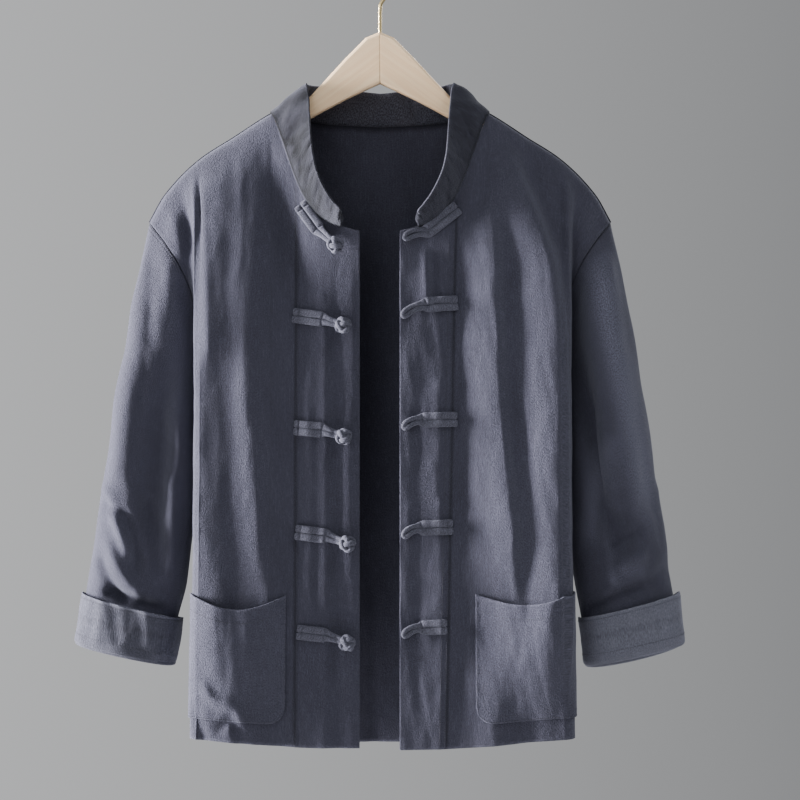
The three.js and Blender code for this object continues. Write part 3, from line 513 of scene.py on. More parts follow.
FRONT_FOLDS = {
    -1: [
        (8, 62, 11, (190, 205), (195, 270), (193, 350), (190, 470)),
        (-3.5, 18, 24, (150, 215), (166, 266), (172, 378), (168, 524), (160, 669), (150, 760)),
        (3.6, 14, 16, (150, 400), (146, 480), (138, 560), (128, 640), (118, 705), (106, 780)),
        (-6.5, 20, 24, (122, 168), (106, 232), (100, 300), (100, 378), (103, 524), (104, 658), (98, 760)),
        (1.6, 6, 6, (61, 330), (60, 420), (60, 600), (60, 800), (62, 960)),
        (-2.4, 5, 6, (49, 325), (48, 420), (47, 600), (45, 800), (46, 960)),
        (1.6, 6, 9, (32, 300), (31, 480), (32, 700), (31, 960)),
        (4, 20, 24, (162, 770), (154, 860), (150, 960)),
        (3, 6, 8, (198, 790), (182, 818), (160, 824), (142, 850)),
        (-3, 7, 6, (184, 858), (164, 842), (150, 862), (142, 905)),
        (-2.6, 7, 7, (206, 812), (198, 846), (188, 880), (186, 930)),
        (2.4, 6, 5, (120, 860), (116, 900), (112, 960)),
        (-3, 14, 14, (112, 800), (112, 880), (110, 980)),
        (1, 7, 6, (80, 420), (78, 560), (78, 740)),
        (1.2, 4, 5, (92, 360), (76, 372), (58, 374)),
        (1.1, 5, 4, (94, 520), (74, 524), (60, 520)),
    ],
    1: [
        (17, 46, 10, (130, 168), (150, 240), (172, 296), (189, 345), (196, 420), (196, 560), (196, 860)),
        (-3, 12, 16, (124, 230), (136, 330), (142, 440), (149, 540), (160, 640), (166, 780)),
        (11, 34, 13, (112, 240), (126, 345), (128, 440), (134, 540), (142, 636), (146, 740)),
        (-5, 12, 14, (86, 300), (86, 400), (86, 560), (90, 680)),
        (-4, 5, 6, (58, 325), (60, 352), (61, 385)),
        (2.5, 6, 5, (50, 320), (51, 350), (52, 390)),
        (1.6, 9, 8, (66, 400), (66, 560), (68, 760), (66, 940)),
        (-1.4, 7, 7, (44, 420), (42, 620), (40, 900)),
        (5, 22, 20, (122, 760), (124, 850), (128, 960)),
        (-3, 12, 12, (162, 820), (164, 900), (164, 980)),
        (1.2, 5, 4, (58, 470), (74, 476), (94, 470)),
        (1.1, 4, 5, (60, 600), (78, 606), (96, 604)),
    ],
}
FOLD_DRAWN_IN = {-1: 4, 1: 2}
PLACKET_EDGE = {-1: ((300, 93), (880, 92)), 1: ((300, 84), (600, 78), (880, 72))}


def front_down(x, v):
    """Depth of row v at column x of a front: down_of, with the hem 7 to 12 mm up off the back's."""
    up = (7 + 5 * smoothstep(x, 60, 202)) * smoothstep(level_of(v), 700, 870) * (1 - smoothstep(x, 215, 258))
    return down_of(np.where(x < NECK_X, front_neck(x), ridge(x)), x, v) - up


def front_point(side, x, v):
    """A front's outer face: its depth off the hanger's plane out to the side fold, then through brow,
    cheek, valley and flare to the armhole or the side seam, each a curve over its own depth."""
    level = level_of(v)
    down = front_down(x, v)
    drop = np.maximum(down - ridge(x), 0)
    flat_y = -depth["front"](drop)
    fold_x = front_wrap["foldX"](level)
    share = np.clip((x - FOLD_X) / (TIP_X - FOLD_X), 0, 1)
    xs = [fold_x] + [front_wrap[name + "X"](level) for name in WRAP_NAMES]
    ys = [flat_y] + [front_wrap[name + "Y"](level) for name in WRAP_NAMES]
    held = smoothstep(drop, 0, 75)
    wrap_y = flat_y + (curve_at(WRAP_STATIONS, ys, share) - flat_y) * held
    flat_x = OPENING_X + (x - OPENING_X) * (fold_x - OPENING_X) / (FOLD_X - OPENING_X)
    is_wrap = x > FOLD_X
    place_x = np.where(is_wrap, curve_at(WRAP_STATIONS, xs, share), flat_x)
    drawn_in = FOLD_DRAWN_IN[side] * smoothstep(x, 110, 202) * (1 - smoothstep(x, 222, 250)) * held
    return np.stack([side * (place_x - drawn_in), np.where(is_wrap, wrap_y, flat_y), -down], -1)


def front_row(x, down):
    """Row of a front that passes a depth at column x: down_of turned round, but for the hem's sag."""
    top = np.where(x < NECK_X, front_neck(x), ridge(x))
    rise, span = top - TIP_DOWN, LEVEL_DOWN - TIP_DOWN
    lifted = (down - rise * LEVEL_DOWN / span) / (1 - rise / span)
    level = np.where(lifted < LEVEL_DOWN, lifted, down)
    body = ARMHOLE_ROWS + BODY_ROWS * (level - ARMPIT_DOWN) / (HEM_DOWN - ARMPIT_DOWN)
    share = np.clip((level - TIP_DOWN) / (ARMPIT_DOWN - TIP_DOWN), 0, 1)
    return np.where(level > ARMPIT_DOWN, body, ARMHOLE_ROWS * np.arccos(1 - 2 * share) / np.pi)


def placket_edge(side, down):
    """Column of a placket's sewn edge at a depth."""
    return curve_at(*np.array(PLACKET_EDGE[side], float).T, down)


def dressed_front(side, x, v):
    """A front's outer face with its folds, and its outward normals: front_point moved along its
    normal by creases and crumple, which fade out at the seams. The right front is turned in by up to
    16 mm towards its opening and rolls back 3.5 mm at its side fold, and the left one sinks 3.5 mm
    beside its placket. The placket stands 0.9 mm up, with a groove of 0.6 mm at its seam."""
    step_x, step_v = 0.6, 0.04
    at = front_point(side, x, v)
    ahead = front_point(side, np.minimum(x + step_x, TIP_X), v) - front_point(side, x - step_x, v)
    below = front_point(side, x, v + step_v) - front_point(side, x, np.maximum(v - step_v, 0))
    normal = np.cross(ahead, below) * -side
    normal /= np.maximum(np.linalg.norm(normal, axis=-1, keepdims=True), 1e-9)
    down = -at[..., 2]
    drop = down - ridge(x)
    loose = smoothstep(drop, 4, 50) * (1 - smoothstep(x, 212, 250)) * smoothstep(v, 0, 0.8)
    out = (creases(x, down, FRONT_FOLDS[side]) + crumple(x, down, 11 + side, 0.45)) * loose
    if side < 0:
        turned_in = 16 * (1 - smoothstep(x, -10, 200)) + 3.5 * np.clip((x - 158) / 50, 0, 1.4) ** 2
    else:
        turned_in = 3.5 * smoothstep(x, 22, 95) * (1 - smoothstep(x, 95, 185))
    top = np.where(x < NECK_X, front_neck(x), ridge(x))
    out = out - turned_in * loose * smoothstep(down - top, 4, 100)
    edge = placket_edge(side, down)
    out = out + 0.9 * (1 - smoothstep(x, edge - 1, edge + 1)) * smoothstep(v, 0, 0.5)
    out = out - 0.6 * np.exp(-(((x - edge + 4) / 1.6) ** 2)) * smoothstep(v, 0, 0.5)
    return at + normal * out[..., None], normal, out


front_across = np.concatenate([np.linspace(22, 202, 112), np.linspace(202, 258, 48)[1:]])
for side, word in SIDES:
    x, v = np.meshgrid(front_across, body_rows)
    points, normal, out = dressed_front(side, x, v)
    run = length_down(points)
    # Paler on the fold crests, partly wear and partly a painted highlight; the dark line along the placket's
    # seam groove is painted shade.
    seam = np.exp(-(((x - placket_edge(side, -points[..., 2])) / 1.5) ** 2)) * smoothstep(run, 4, 12)
    wear_and_painted_light = edge_wear(run[-1:] - run) + 0.12 * smoothstep(out, 2, 8) - 0.6 * seam
    front = grid_mesh(f"front_{word}_panel", points, (side * x, -run), wear_and_painted_light, flip=side > 0)
    finish_cloth(thicken(front, CLOTH), shirt_cloth, "shirt cloth", "front_" + word)

# Sleeves: long straight tubes set into the armholes low on the arm, so they hang down beside the body,
# pressed nearly flat, with one valley down the front and broken folds at the elbow and over the cuff.
sleeve_line = columns("k outX outDown outY inX inDown inY front back valley", [
    (0, 258, 291, 0, 199, 500, 8, 40, 44, 0),
    (0.12, 267, 333, 3, 204, 522, 12, 42, 46, 8),
    (0.25, 277, 378, 5, 206, 550, 14, 44, 46, 18),
    (0.4, 288, 440, 6, 207, 584, 14, 44, 46, 21),
    (0.55, 298, 502, 7, 208.5, 618, 13, 43, 44, 21),
    (0.7, 310, 580, 8, 212, 655, 11, 41, 42, 15),
    (0.82, 321, 648, 8, 218, 694, 9, 39, 40, 4),
    (0.92, 329, 706, 8, 227, 733, 8, 37, 37, 1),
    (1, 338, 760, 8, 234, 783, 7, 36, 36, 0),
])
MOUTH_BACK_DROP = {-1: 7, 1: 13}
SLEEVE_LENGTH = 480
SLEEVE_FOLDS = {
    -1: [
        (3.5, 14, 20, (222, 262), (222, 330), (224, 430), (226, 540)),
        (-5, 14, 12, (246, 290), (254, 380), (262, 480), (272, 600)),
        (4, 12, 12, (282, 430), (290, 520), (298, 600)),
        (-7, 8, 7, (322, 592), (304, 604), (284, 620), (272, 650), (264, 690)),
        (7, 8, 8, (312, 578), (300, 600), (284, 640), (272, 670)),
        (-5, 9, 9, (258, 590), (248, 640), (244, 690)),
        (4, 7, 8, (232, 560), (230, 640), (236, 700)),
        (4, 7, 7, (306, 640), (284, 684), (258, 716)),
        (-4, 6, 6, (316, 656), (300, 690), (276, 722)),
        (-9, 7, 7, (312, 698), (292, 706), (268, 714), (242, 722), (228, 728)),
    ],
    1: [
        (21, 30, 15, (228, 262), (242, 320), (256, 440), (268, 540), (284, 640)),
        (-7, 14, 16, (212, 330), (222, 440), (238, 560)),
        (4, 12, 9, (272, 420), (286, 500), (300, 580)),
        (6, 8, 7, (262, 682), (276, 668), (300, 660)),
        (-6, 8, 7, (250, 656), (272, 642), (296, 632)),
        (-5, 8, 8, (296, 700), (312, 684), (330, 670)),
        (4, 8, 7, (246, 600), (252, 660), (260, 716)),
        (-4, 7, 8, (298, 590), (312, 624), (318, 660)),
        (4, 7, 8, (306, 576), (322, 620), (328, 664)),
        (-9, 7, 7, (226, 727), (236, 722), (256, 711), (290, 698), (306, 693)),
    ],
}
# Ridges painted pale as highlights where the light falls short of them, with the painted light in place of
# the height.
SLEEVE_PAINTED_HIGHLIGHTS = {
    -1: [(0.25, 12, 12, (226, 320), (226, 430), (228, 540))],
    1: [
        (0.95, 16, 15, (241, 305), (248, 386), (258, 431), (269, 472), (279, 513), (289, 557), (299, 609),
         (312, 654)),
        (0.5, 12, 12, (256, 520), (236, 609), (228, 665)),
        (0.45, 10, 8, (250, 694), (274, 680), (300, 676)),
    ],
}


def armhole_point(side, a):
    """Armhole seam: a runs from 0 at the shoulder down the front to 1 at the armpit, and up the back
    to 2."""
    tip = np.full(a.shape, float(TIP_X))
    front = front_point(side, tip, ARMHOLE_ROWS * np.clip(a, 0, 1))
    rear = back_point(side * tip, ARMHOLE_ROWS * np.clip(2 - a, 0, 1))
    return np.where(a[..., None] <= 1, front, rear)


def sleeve_point(side, k, a):
    """A sleeve's outer face: k runs from the armhole to the mouth, a round it. Its section goes from
    its outer to its underarm line by (1 - cos(pi a)) / 2, and stands |sin(pi a)|^0.8 of its depth off
    the line between them, less the valley down its front. Near the armhole it keeps the seam's form."""
    t = (1 - np.cos(np.pi * a)) / 2
    line = {name: curve(k) for name, curve in sleeve_line.items()}
    first = {name: curve(np.zeros(())) for name, curve in sleeve_line.items()}
    is_front = a <= 1
    stand = abs(np.sin(np.pi * a)) ** 0.8
    groove = line["valley"] * np.exp(-(((t - 0.56) / 0.17) ** 2))
    off = np.where(is_front, groove - line["front"] * stand, line["back"] * stand)
    lower = np.where(is_front, 0, MOUTH_BACK_DROP[side] * stand * smoothstep(k, 0.6, 1))

    def between(start, end):
        return start + (end - start) * t

    free = np.stack([
        side * between(line["outX"], line["inX"]),
        between(line["outY"], line["inY"]) + off,
        -between(line["outDown"], line["inDown"]) - lower,
    ], -1)
    move_x = between(line["outX"] - first["outX"], line["inX"] - first["inX"])
    move_down = between(line["outDown"] - TIP_DOWN, line["inDown"] - ARMPIT_DOWN)
    sewn = armhole_point(side, a) + np.stack([side * move_x, 0 * move_x, -move_down], -1)
    settled = smoothstep(k, 0, 0.35)[..., None]
    return sewn + (free - sewn) * settled


def dressed_sleeve(side, k, a):
    """A sleeve's outer face with its folds and its outward normals. The front has its own folds, and
    the back the other sleeve's, half as high and 40 mm lower. They fade at the armhole and towards the
    two edges, which wave by 1.2 mm."""
    at = sleeve_point(side, k, a)
    normal = grid_normals(at, True) * side
    x, down = abs(at[..., 0]), -at[..., 2]
    is_front = a <= 1
    seen = creases(x, down, SLEEVE_FOLDS[side])
    hidden = creases(x, down - 40, SLEEVE_FOLDS[-side]) * 0.5
    edge = abs(np.sin(np.pi * a)) ** 0.5
    loose = smoothstep(k, 0.01, 0.12) * edge
    out = (np.where(is_front, seen, hidden) + crumple(x + 300 * ~is_front, down, 21 + side, 0.6)) * loose
    out += 1.2 * np.sin(down / 17 + 2 * side) * smoothstep(k, 0.1, 0.3) * (1 - edge)
    return at + normal * out[..., None], normal, out


rings = np.concatenate([np.linspace(0, 0.03, 14), np.linspace(0.03, 1, 172)[1:]])
round_sleeve = np.linspace(0, 2, 141)[:-1]
for side, word in SIDES:
    k, a = np.meshgrid(rings, round_sleeve, indexing="ij")
    points, normal, out = dressed_sleeve(side, k, a)
    away = points[3:4] - points[:1]
    away /= np.linalg.norm(away, axis=-1, keepdims=True)
    points += away * (0.8 * (1 - smoothstep(k, 0, 0.02)))[..., None]
    run = SLEEVE_LENGTH * k
    # Paler on the fold crests, partly wear and partly a painted highlight; the dark line at the armhole seam
    # is painted shade.
    wear_and_painted_light = edge_wear(SLEEVE_LENGTH - run) + 0.12 * smoothstep(out, 2, 6) - 0.75 * np.exp(-((run / 2.2) ** 2))
    # Painted highlights along the ridges of the sleeve's front.
    wear_and_painted_light += creases(side * points[..., 0], -points[..., 2], SLEEVE_PAINTED_HIGHLIGHTS[side]) * (a < 1)
    flat = (length_round(points, 100), -run)
    sleeve = grid_mesh(f"sleeve_{word}_tube", points, flat, wear_and_painted_light, True, side < 0)
    finish_cloth(thicken(sleeve, CLOTH), shirt_cloth, "shirt cloth", "sleeve_" + word)

# Cuffs: the last 54 mm of each sleeve turned up outside it and stitched down, so the cloth's paler
# wrong side shows. The fold makes the mouth, and the open edge stands a little off the sleeve.
CUFF_PROFILE = np.array([
    (0, -1.6), (-2.4, -0.9), (-3.6, 0.8), (-3.4, 2.6), (-1.6, 4), (1, 4.6), (8, 5.3), (18, 5.6),
    (36, 6.4), (47, 6.8), (54, 6.6),
])
CUFF_HEIGHT, CUFF_LENGTH, CUFF_SEAM = 54, 70, 28
CUFF_FOLDS = {
    -1: [(2.2, 5, 6, (262, 712), (258, 740), (260, 770)), (-1.8, 6, 6, (300, 700), (292, 730), (290, 764))],
    1: [(2.2, 6, 5, (276, 706), (280, 740), (276, 768)), (-1.8, 6, 6, (316, 690), (310, 726), (312, 764))],
}
# Two copies of the one turned cloth: the left cuff's is painted more than twice as pale as the right's, a
# painted highlight standing in for light.
cuff_cloth = {
    -1: linen("turned_linen", (0.052, 0.053, 0.07), (0.12, 0.123, 0.16), (0.23, 0.236, 0.3), 0.8),
    1: linen("turned_linen_painted_lit", (0.115, 0.118, 0.15), (0.19, 0.195, 0.24), (0.28, 0.29, 0.35), 0.8),
}


def cuff_grid(side, ups, a):
    """A cuff's outer face: CUFF_PROFILE's height and stand-off by place along it, round the sleeve's
    mouth, where a millimetre of height is a step back along the sleeve. Its folds lie on its front."""
    last = 0.08
    last_length = sleeve_line["outDown"](np.array(1.0)) - sleeve_line["outDown"](np.array(1 - last))
    share = np.linspace(0, 1, len(CUFF_PROFILE))
    up = curve_at(share, CUFF_PROFILE[:, 0], ups)
    stand = curve_at(share, CUFF_PROFILE[:, 1], ups)
    k = 1 - last * np.maximum(up, 0) / last_length
    at, _, _ = dressed_sleeve(side, k, a)
    _, mouth_normal, _ = dressed_sleeve(side, *np.meshgrid([0.985, 1.0], a[0], indexing="ij"))
    ripple = creases(np.where(a <= 1, 0, 400) + abs(at[..., 0]), -at[..., 2], CUFF_FOLDS[side])
    ripple = ripple + crumple(a * 170, up, 40 + side, 0.9) * smoothstep(up, 0, 12)
    at = at + mouth_normal[1][None] * (stand + ripple)[..., None]
    at[..., 2] += np.minimum(up, 0) - 0.3
    return at, up


for side, word in SIDES:
    ups, a = np.meshgrid(np.linspace(0, 1, 52), round_sleeve, indexing="ij")
    points, up = cuff_grid(side, ups, a)
    wear_and_painted_light = edge_wear((1 - ups) * CUFF_HEIGHT, np.abs(up) + 1.5) * 0.9
    # Painted shade: a dark line in the groove of the cuff's seam.
    wear_and_painted_light -= 0.65 * np.exp(-(((up - CUFF_SEAM) / 1.5) ** 2))
    flat = (length_round(points, 26), CUFF_LENGTH * ups)
    cuff = grid_mesh(f"cuff_{word}_turn", points, flat, wear_and_painted_light, True, side > 0)
    finish_cloth(thicken(cuff, 1.7), cuff_cloth[side], "trim cloth", "cuff_" + word)

# Collar: a low stand of doubled linen round the neck edge, joined by two rows of stitching. It stands
# at the back of the neck and falls forward at its two front ends, which are cut as rounded leaves.
COLLAR_SHOULDER, COLLAR_START, COLLAR_HEIGHT = 0.68, 42, 34
collar_edge = columns("along x y down", [
    (0, 40, -68, 285), (0.1, 44, -76, 281), (0.22, 58, -76, 262), (0.36, 70, -68, 233), (0.5, 75, -51, 200),
    (0.6, 78, -30, 166), (0.68, 80, -6, 138), (0.76, 74, 15, 134), (0.88, 42, 27, 137), (1, 0, 27, 141),
])


def neck_seam(side, along):
    """Neck edge of the body at a share along half the collar: the front's edge to the shoulder, then
    the back's to its middle. Gives points and the cloth's outward normals there."""
    x = np.where(along < COLLAR_SHOULDER, COLLAR_START + (NECK_X - COLLAR_START) * along / COLLAR_SHOULDER,
                 NECK_X * (1 - (along - COLLAR_SHOULDER) / (1 - COLLAR_SHOULDER)))
    row = np.zeros(x.shape)
    front, front_normal, _ = dressed_front(side, np.maximum(x, 30.0), row)
    rear = back_point(side * x, row)
    ahead = back_point(side * x + 0.5, row) - back_point(side * x - 0.5, row)
    rear_normal = np.cross(ahead, back_point(side * x, row + 0.04) - rear)
    rear_normal /= np.linalg.norm(rear_normal, axis=-1, keepdims=True)
    is_front = (along <= COLLAR_SHOULDER)[..., None]
    turn = smoothstep(along, 0.6, 0.76)[..., None]
    return np.where(is_front, front, rear), front_normal * (1 - turn) + rear_normal * turn


def collar_crumple(along, up, seed, height):
    """Crumple over half the collar, which is 330 mm long and 50 mm high with its roll."""
    return crumple(along * 330, up * 50, seed, height)


def collar_point(side, along, up):
    """Collar's outer face from its seam, up = 0, to its edge, up = 1: a straight reach to the edge's
    own curve, with a belly of 2.5 mm and a crumple. It laps over the back's neck edge, is dented at
    the side of the neck, and at its front end the reach is cut back in a quarter of an ellipse."""
    seam, normal = neck_seam(side, along)
    edge_x, edge_y, edge_down = [collar_edge[name](along) for name in ("x", "y", "down")]
    edge = np.stack([side * edge_x, edge_y, -edge_down], -1)
    reach = edge - seam
    lapped = smoothstep(along, 0.62, 0.74)
    start = seam + reach / np.linalg.norm(reach, axis=-1, keepdims=True) * (0.9 - 3.2 * lapped)[..., None]
    belly = 2.5 * np.sin(np.pi * up) + 0.8 * np.sin(along * 34 + side) * up * smoothstep(along, 0.08, 0.2)
    belly += collar_crumple(along, up, 61 + side, 1.9) * smoothstep(up, 0, 0.3) * smoothstep(along, 0, 0.05)
    belly += 2.4 * lapped * (1 - smoothstep(up, 0, 0.3))
    dent = np.exp(-(((along - 0.52) / 0.07) ** 2) - ((up - 0.45) / 0.25) ** 2)
    belly -= (4.5 if side < 0 else 2) * dent
    belly += 3.5 * np.exp(-(((along - 0.05) / 0.06) ** 2)) * up * (side < 0)
    tip = 1 - np.clip(along / 0.085, 0, 1)
    rounded = 0.45 + 0.55 * np.sqrt(1 - tip**2)
    return start + reach * (up * rounded)[..., None] + normal * belly[..., None]


half = np.linspace(0, 1, 150)
along, up = np.meshgrid(np.concatenate([half, half[-2::-1]]), np.linspace(0, 1, 34))
is_right = (np.arange(along.shape[1]) < len(half))[None, :, None]
points = np.where(is_right, collar_point(-1, along, up), collar_point(1, along, up))
run = np.broadcast_to(length_along(points[20]), up.shape)
height = COLLAR_HEIGHT * up
wear_and_painted_light = edge_wear(COLLAR_HEIGHT - height, run, run[0, -1] - run) * 0.9
# Painted shade on the right half's collar, deepest at the dent beside the neck and mottled by a crumple.
shaded = 0.7 + 0.5 * np.exp(-(((along - 0.5) / 0.08) ** 2) - ((up - 0.4) / 0.25) ** 2)
wear_and_painted_light -= (points[..., 0] < 0) * (along < 0.7) * (shaded - collar_crumple(along, up, 67, 0.35))
# Painted light on the collar's back part, and painted shade as a dark line along its seam.
wear_and_painted_light += 0.4 * smoothstep(along, 0.74, 0.8) - 0.8 * np.exp(-((height / 1.8) ** 2))
collar = grid_mesh("collar_stand", points, (run, height), wear_and_painted_light)
collar_cloth = linen("collar_linen", (0.022, 0.022, 0.03), (0.07, 0.071, 0.1), (0.15, 0.154, 0.2), 0.8)
finish_cloth(thicken(collar, 2), collar_cloth, "trim cloth", "collar")

# Pockets: a wide patch low on each front, sewn down on three sides with two rows of stitching, its
# mouth hemmed and sagging open a little. It takes the front's own folds with it.
POCKETS = {-1: (102, 702, 15, 847), 1: (104, 700, 11, 846)}
POCKET_HEIGHT = 140


def over_front(side, x, down, height=0.0):
    """Points a height off a front's dressed face, at a column and a depth, and its normals there."""
    at, normal, _ = dressed_front(side, x, front_row(x, down))
    return at + normal * np.asarray(height)[..., None], normal


def pocket_point(side, across, up):
    """A pocket's outer face: across runs from its inner edge to the side seam, up from its mouth to its
    bottom. POCKETS has its inner edge's x, its mouth's depth, how far the mouth hangs in its arc, and
    its bottom's depth. The inner corner is round, and the bag stands up to 9 mm off."""
    inner_x, mouth, hang, bottom = POCKETS[side]
    x = inner_x + (TIP_X - 3 - inner_x) * across
    corner = np.maximum(20 - (x - inner_x), 0)
    mouth_down = mouth + hang * np.sin(np.pi * np.clip(across / 0.7, 0, 1))
    down = mouth_down + (bottom - 20 + np.sqrt(400 - corner**2) - mouth_down) * up
    sides = smoothstep(across, 0, 0.3) * (1 - smoothstep(across, 0.5, 0.75))
    bag = 9 * sides * (1 - smoothstep(up, 0.35, 1))
    puckers = 0.5 * np.sin(down / 3.1 + 3 * side) * np.exp(-(((x - inner_x) / 9) ** 2))
    height = 0.9 + CLOTH + bag + puckers * smoothstep(up, 0, 0.1)
    return over_front(side, x, down, height)[0], x, down


for side, word in SIDES:
    across, up = np.meshgrid(np.linspace(0, 1, 110), np.linspace(0, 1, 80))
    points, x, down = pocket_point(side, across, up)
    wear_and_painted_light = edge_wear(up * POCKET_HEIGHT) + 0.1 + 0.15 * np.exp(-(((x - POCKETS[side][0]) / 2) ** 2))
    pocket = grid_mesh(f"pocket_{word}_patch", points, (side * x, -down), wear_and_painted_light, flip=side > 0)
    finish_cloth(thicken(pocket, CLOTH), shirt_cloth, "shirt cloth", "pocket_" + word)

# Frogs: five pairs down the front. Each is a bias-cut strip sewn into a narrow tube and doubled back
# on itself, whipped down side by side on the placket. On the right half its ends are woven into a
# ball knot, and on the left half its fold stands free as the loop that takes the ball.
KNOTS = [
    (88, 274, 67, 303, 48, 321), (96, 396, 62, 401, 40, 408), (94, 520, 62, 523, 39, 530),
    (92, 634, 58, 638, 35, 646), (90, 742, 59, 745, 35, 753),
]
LOOPS = [
    (86, 279, 51, 306, 27, 313), (86, 383, 50, 386, 25, 398), (85, 511, 46, 512, 26, 520),
    (80, 628, 45, 629, 26, 637), (73, 735, 46, 736, 26, 744),
]
frog_cloth = linen("frog_linen", (0.058, 0.058, 0.078), (0.11, 0.112, 0.15), (0.2, 0.204, 0.26), 0.9)


def tube_mesh(path, up, half_width, half_height, sides=20, closed=False):
    """Vertices and faces of a tube: at each point of the path a rounded section, half_width across and
    half_height along up, x = w sign(cos) |cos|^0.8 and y = h sign(sin) |sin|^0.8. An open tube ends in
    flat caps, and a closed one joins its last ring to its first."""
    if closed:
        tangent = np.roll(path, -1, 0) - np.roll(path, 1, 0)
    else:
        tangent = np.gradient(path, axis=0)
    right = np.cross(tangent, up)
    right /= np.linalg.norm(right, axis=1, keepdims=True)
    over = np.cross(right, tangent)
    over /= np.linalg.norm(over, axis=1, keepdims=True)
    angle = -np.linspace(0, 2 * np.pi, sides, endpoint=False)
    across = np.sign(np.cos(angle)) * abs(np.cos(angle)) ** 0.8
    above = np.sign(np.sin(angle)) * abs(np.sin(angle)) ** 0.8
    ring = path[:, None] + right[:, None] * (np.reshape(half_width, (-1, 1)) * across)[..., None]
    ring = ring + over[:, None] * (np.reshape(half_height, (-1, 1)) * above)[..., None]
    count = len(path)
    i, j = np.meshgrid(np.arange(count if closed else count - 1), np.arange(sides), indexing="ij")
    after, ahead = (j + 1) % sides, (i + 1) % count
    quads = np.stack([i * sides + j, i * sides + after, ahead * sides + after, ahead * sides + j], -1)
    run = length_along(path)
    run = np.append(run, run[-1] + np.linalg.norm(path[0] - path[-1]))
    girth = np.mean(half_width) * 5.5 / sides
    u = np.stack([j * girth, (j + 1) * girth, (j + 1) * girth, j * girth], -1)
    v = np.stack([run[i], run[i], run[i + 1], run[i + 1]], -1)
    bias = np.stack([(u + v) * 0.7071, (v - u) * 0.7071], -1)
    return ring.reshape(-1, 3), quads.reshape(-1, 4), bias.reshape(-1, 2), not closed


def tube_piece(name, tubes, wear_and_painted_light=0.3):
    """One object from several tubes, in the order given, with bias-cut UVs and one wear value."""
    vertices, faces, places, first = [], [], [], 0
    for points, quads, bias, has_caps in tubes:
        vertices.append(points)
        faces += (quads + first).tolist()
        places.append(bias)
        if has_caps:
            sides = int(quads[0, 3])
            start, end = list(range(sides)), list(range(len(points) - sides, len(points)))
            faces += [[n + first for n in start[::-1]], [n + first for n in end]]
            places += [np.zeros((2 * sides, 2))]
        first += len(points)
    return new_piece(name, np.concatenate(vertices), faces, np.concatenate(places), np.full(first, wear_and_painted_light))


def strand_path(side, row, sign, shares, reach_high, end_apart, arch=0.0):
    """Middle line of one strand, its up direction and its half sizes. A row has the x and depth of the
    frog's outer end, its strip's end and its far end. The strand runs 4.2 mm from the frog's middle
    line for the first 0.58 of its shares, then closes in on the far end while it rises off the cloth.
    Two stitched bars press it flat, near its outer end and at the strip's end."""
    x1, down1, x2, down2, x3, down3 = row
    turn = 0.58
    x = np.interp(shares, (0, turn, 1), (x1, x2, x3))
    down = np.interp(shares, (0, turn, 1), (down1, down2, down3))
    blur = smoothstep(shares, turn - 0.12, turn + 0.12)
    ahead = np.array([x2 - x1, down2 - down1]) / np.hypot(x2 - x1, down2 - down1)
    onward = np.array([x3 - x2, down3 - down2]) / np.hypot(x3 - x2, down3 - down2)
    heading = ahead * (1 - blur[:, None]) + onward * blur[:, None]
    apart = sign * curve_at([0, turn - 0.08, turn + 0.1, 1], [4.2, 4.2, 2.7, end_apart], shares)
    past = np.clip((shares - turn) / (1 - turn), 0, 1)
    x = x - heading[:, 1] * apart
    down = down + heading[:, 0] * apart - arch * np.sin(np.pi * past)
    bars = np.exp(-(((shares - 0.1) / 0.018) ** 2)) + np.exp(-(((shares - turn + 0.02) / 0.018) ** 2))
    half_width = curve_at([0, 0.03, turn - 0.06, turn + 0.1, 1], [3.2, 4.1, 4.1, 2.7, 2.4], shares)
    half_height = curve_at([0, 0.03, turn, turn + 0.15, 1], [1.0, 1.6, 1.7, 2.3, 2.4], shares)
    half_height *= 1 - 0.4 * bars
    height = 0.8 + half_height + reach_high * smoothstep(shares, turn, 1.0)
    return *over_front(side, x, down, height), half_width, half_height


def ball_knot(centre, axis, radius=6.5, cord=2.75, turned=0.0):
    """A woven ball: one closed cord goes round the axis three times while it crosses the middle eight
    times. Longitude is s, latitude 58 degrees times sin(4s/3), and the cord passes over and under by
    moving in and out by -sin(8s/3)."""
    s = np.linspace(0, 6 * np.pi, 260, endpoint=False)
    lift = np.radians(58) * np.sin(4 * s / 3)
    axis = axis / np.linalg.norm(axis)
    side_way = np.cross(axis, (0.2, 0.9, 0.4))
    side_way /= np.linalg.norm(side_way)
    front_way = np.cross(axis, side_way)
    away = (np.cos(lift) * np.cos(s + turned))[:, None] * side_way + np.sin(lift)[:, None] * axis
    away = away + (np.cos(lift) * np.sin(s + turned))[:, None] * front_way
    path = centre + away * (radius - 1.25 * np.sin(8 * s / 3))[:, None]
    core_turn = np.linspace(-1, 1, 15)
    core = centre + axis * (core_turn * (radius - 0.4))[:, None]
    core_size = (radius - 0.4) * np.sqrt(np.maximum(1 - core_turn**2, 0.01))
    return [tube_mesh(path, away, np.full(260, cord), np.full(260, cord * 0.82), 12, True),
            tube_mesh(core, np.tile(side_way, (15, 1)), core_size, core_size, 16)]


shares = np.linspace(0, 1, 70)
for n, row in enumerate(KNOTS, 1):
    strands = [tube_mesh(*strand_path(-1, row, sign, shares * 0.93, 7.5, 1.2)) for sign in (-1, 1)]
    strip = tube_piece(f"knot_strip_{n}_strands", strands)
    finish_piece(strip, frog_cloth, "frog cord", f"knot_strip_{n}")
    stem, centre = over_front(-1, np.array(row[2::2]), np.array(row[3::2]), np.array([5.0, 12.0]))[0]
    ball = tube_piece(f"knot_{n}_ball", ball_knot(centre, centre - stem, turned=0.9 * n))
    finish_piece(ball, frog_cloth, "frog cord", f"knot_{n}")

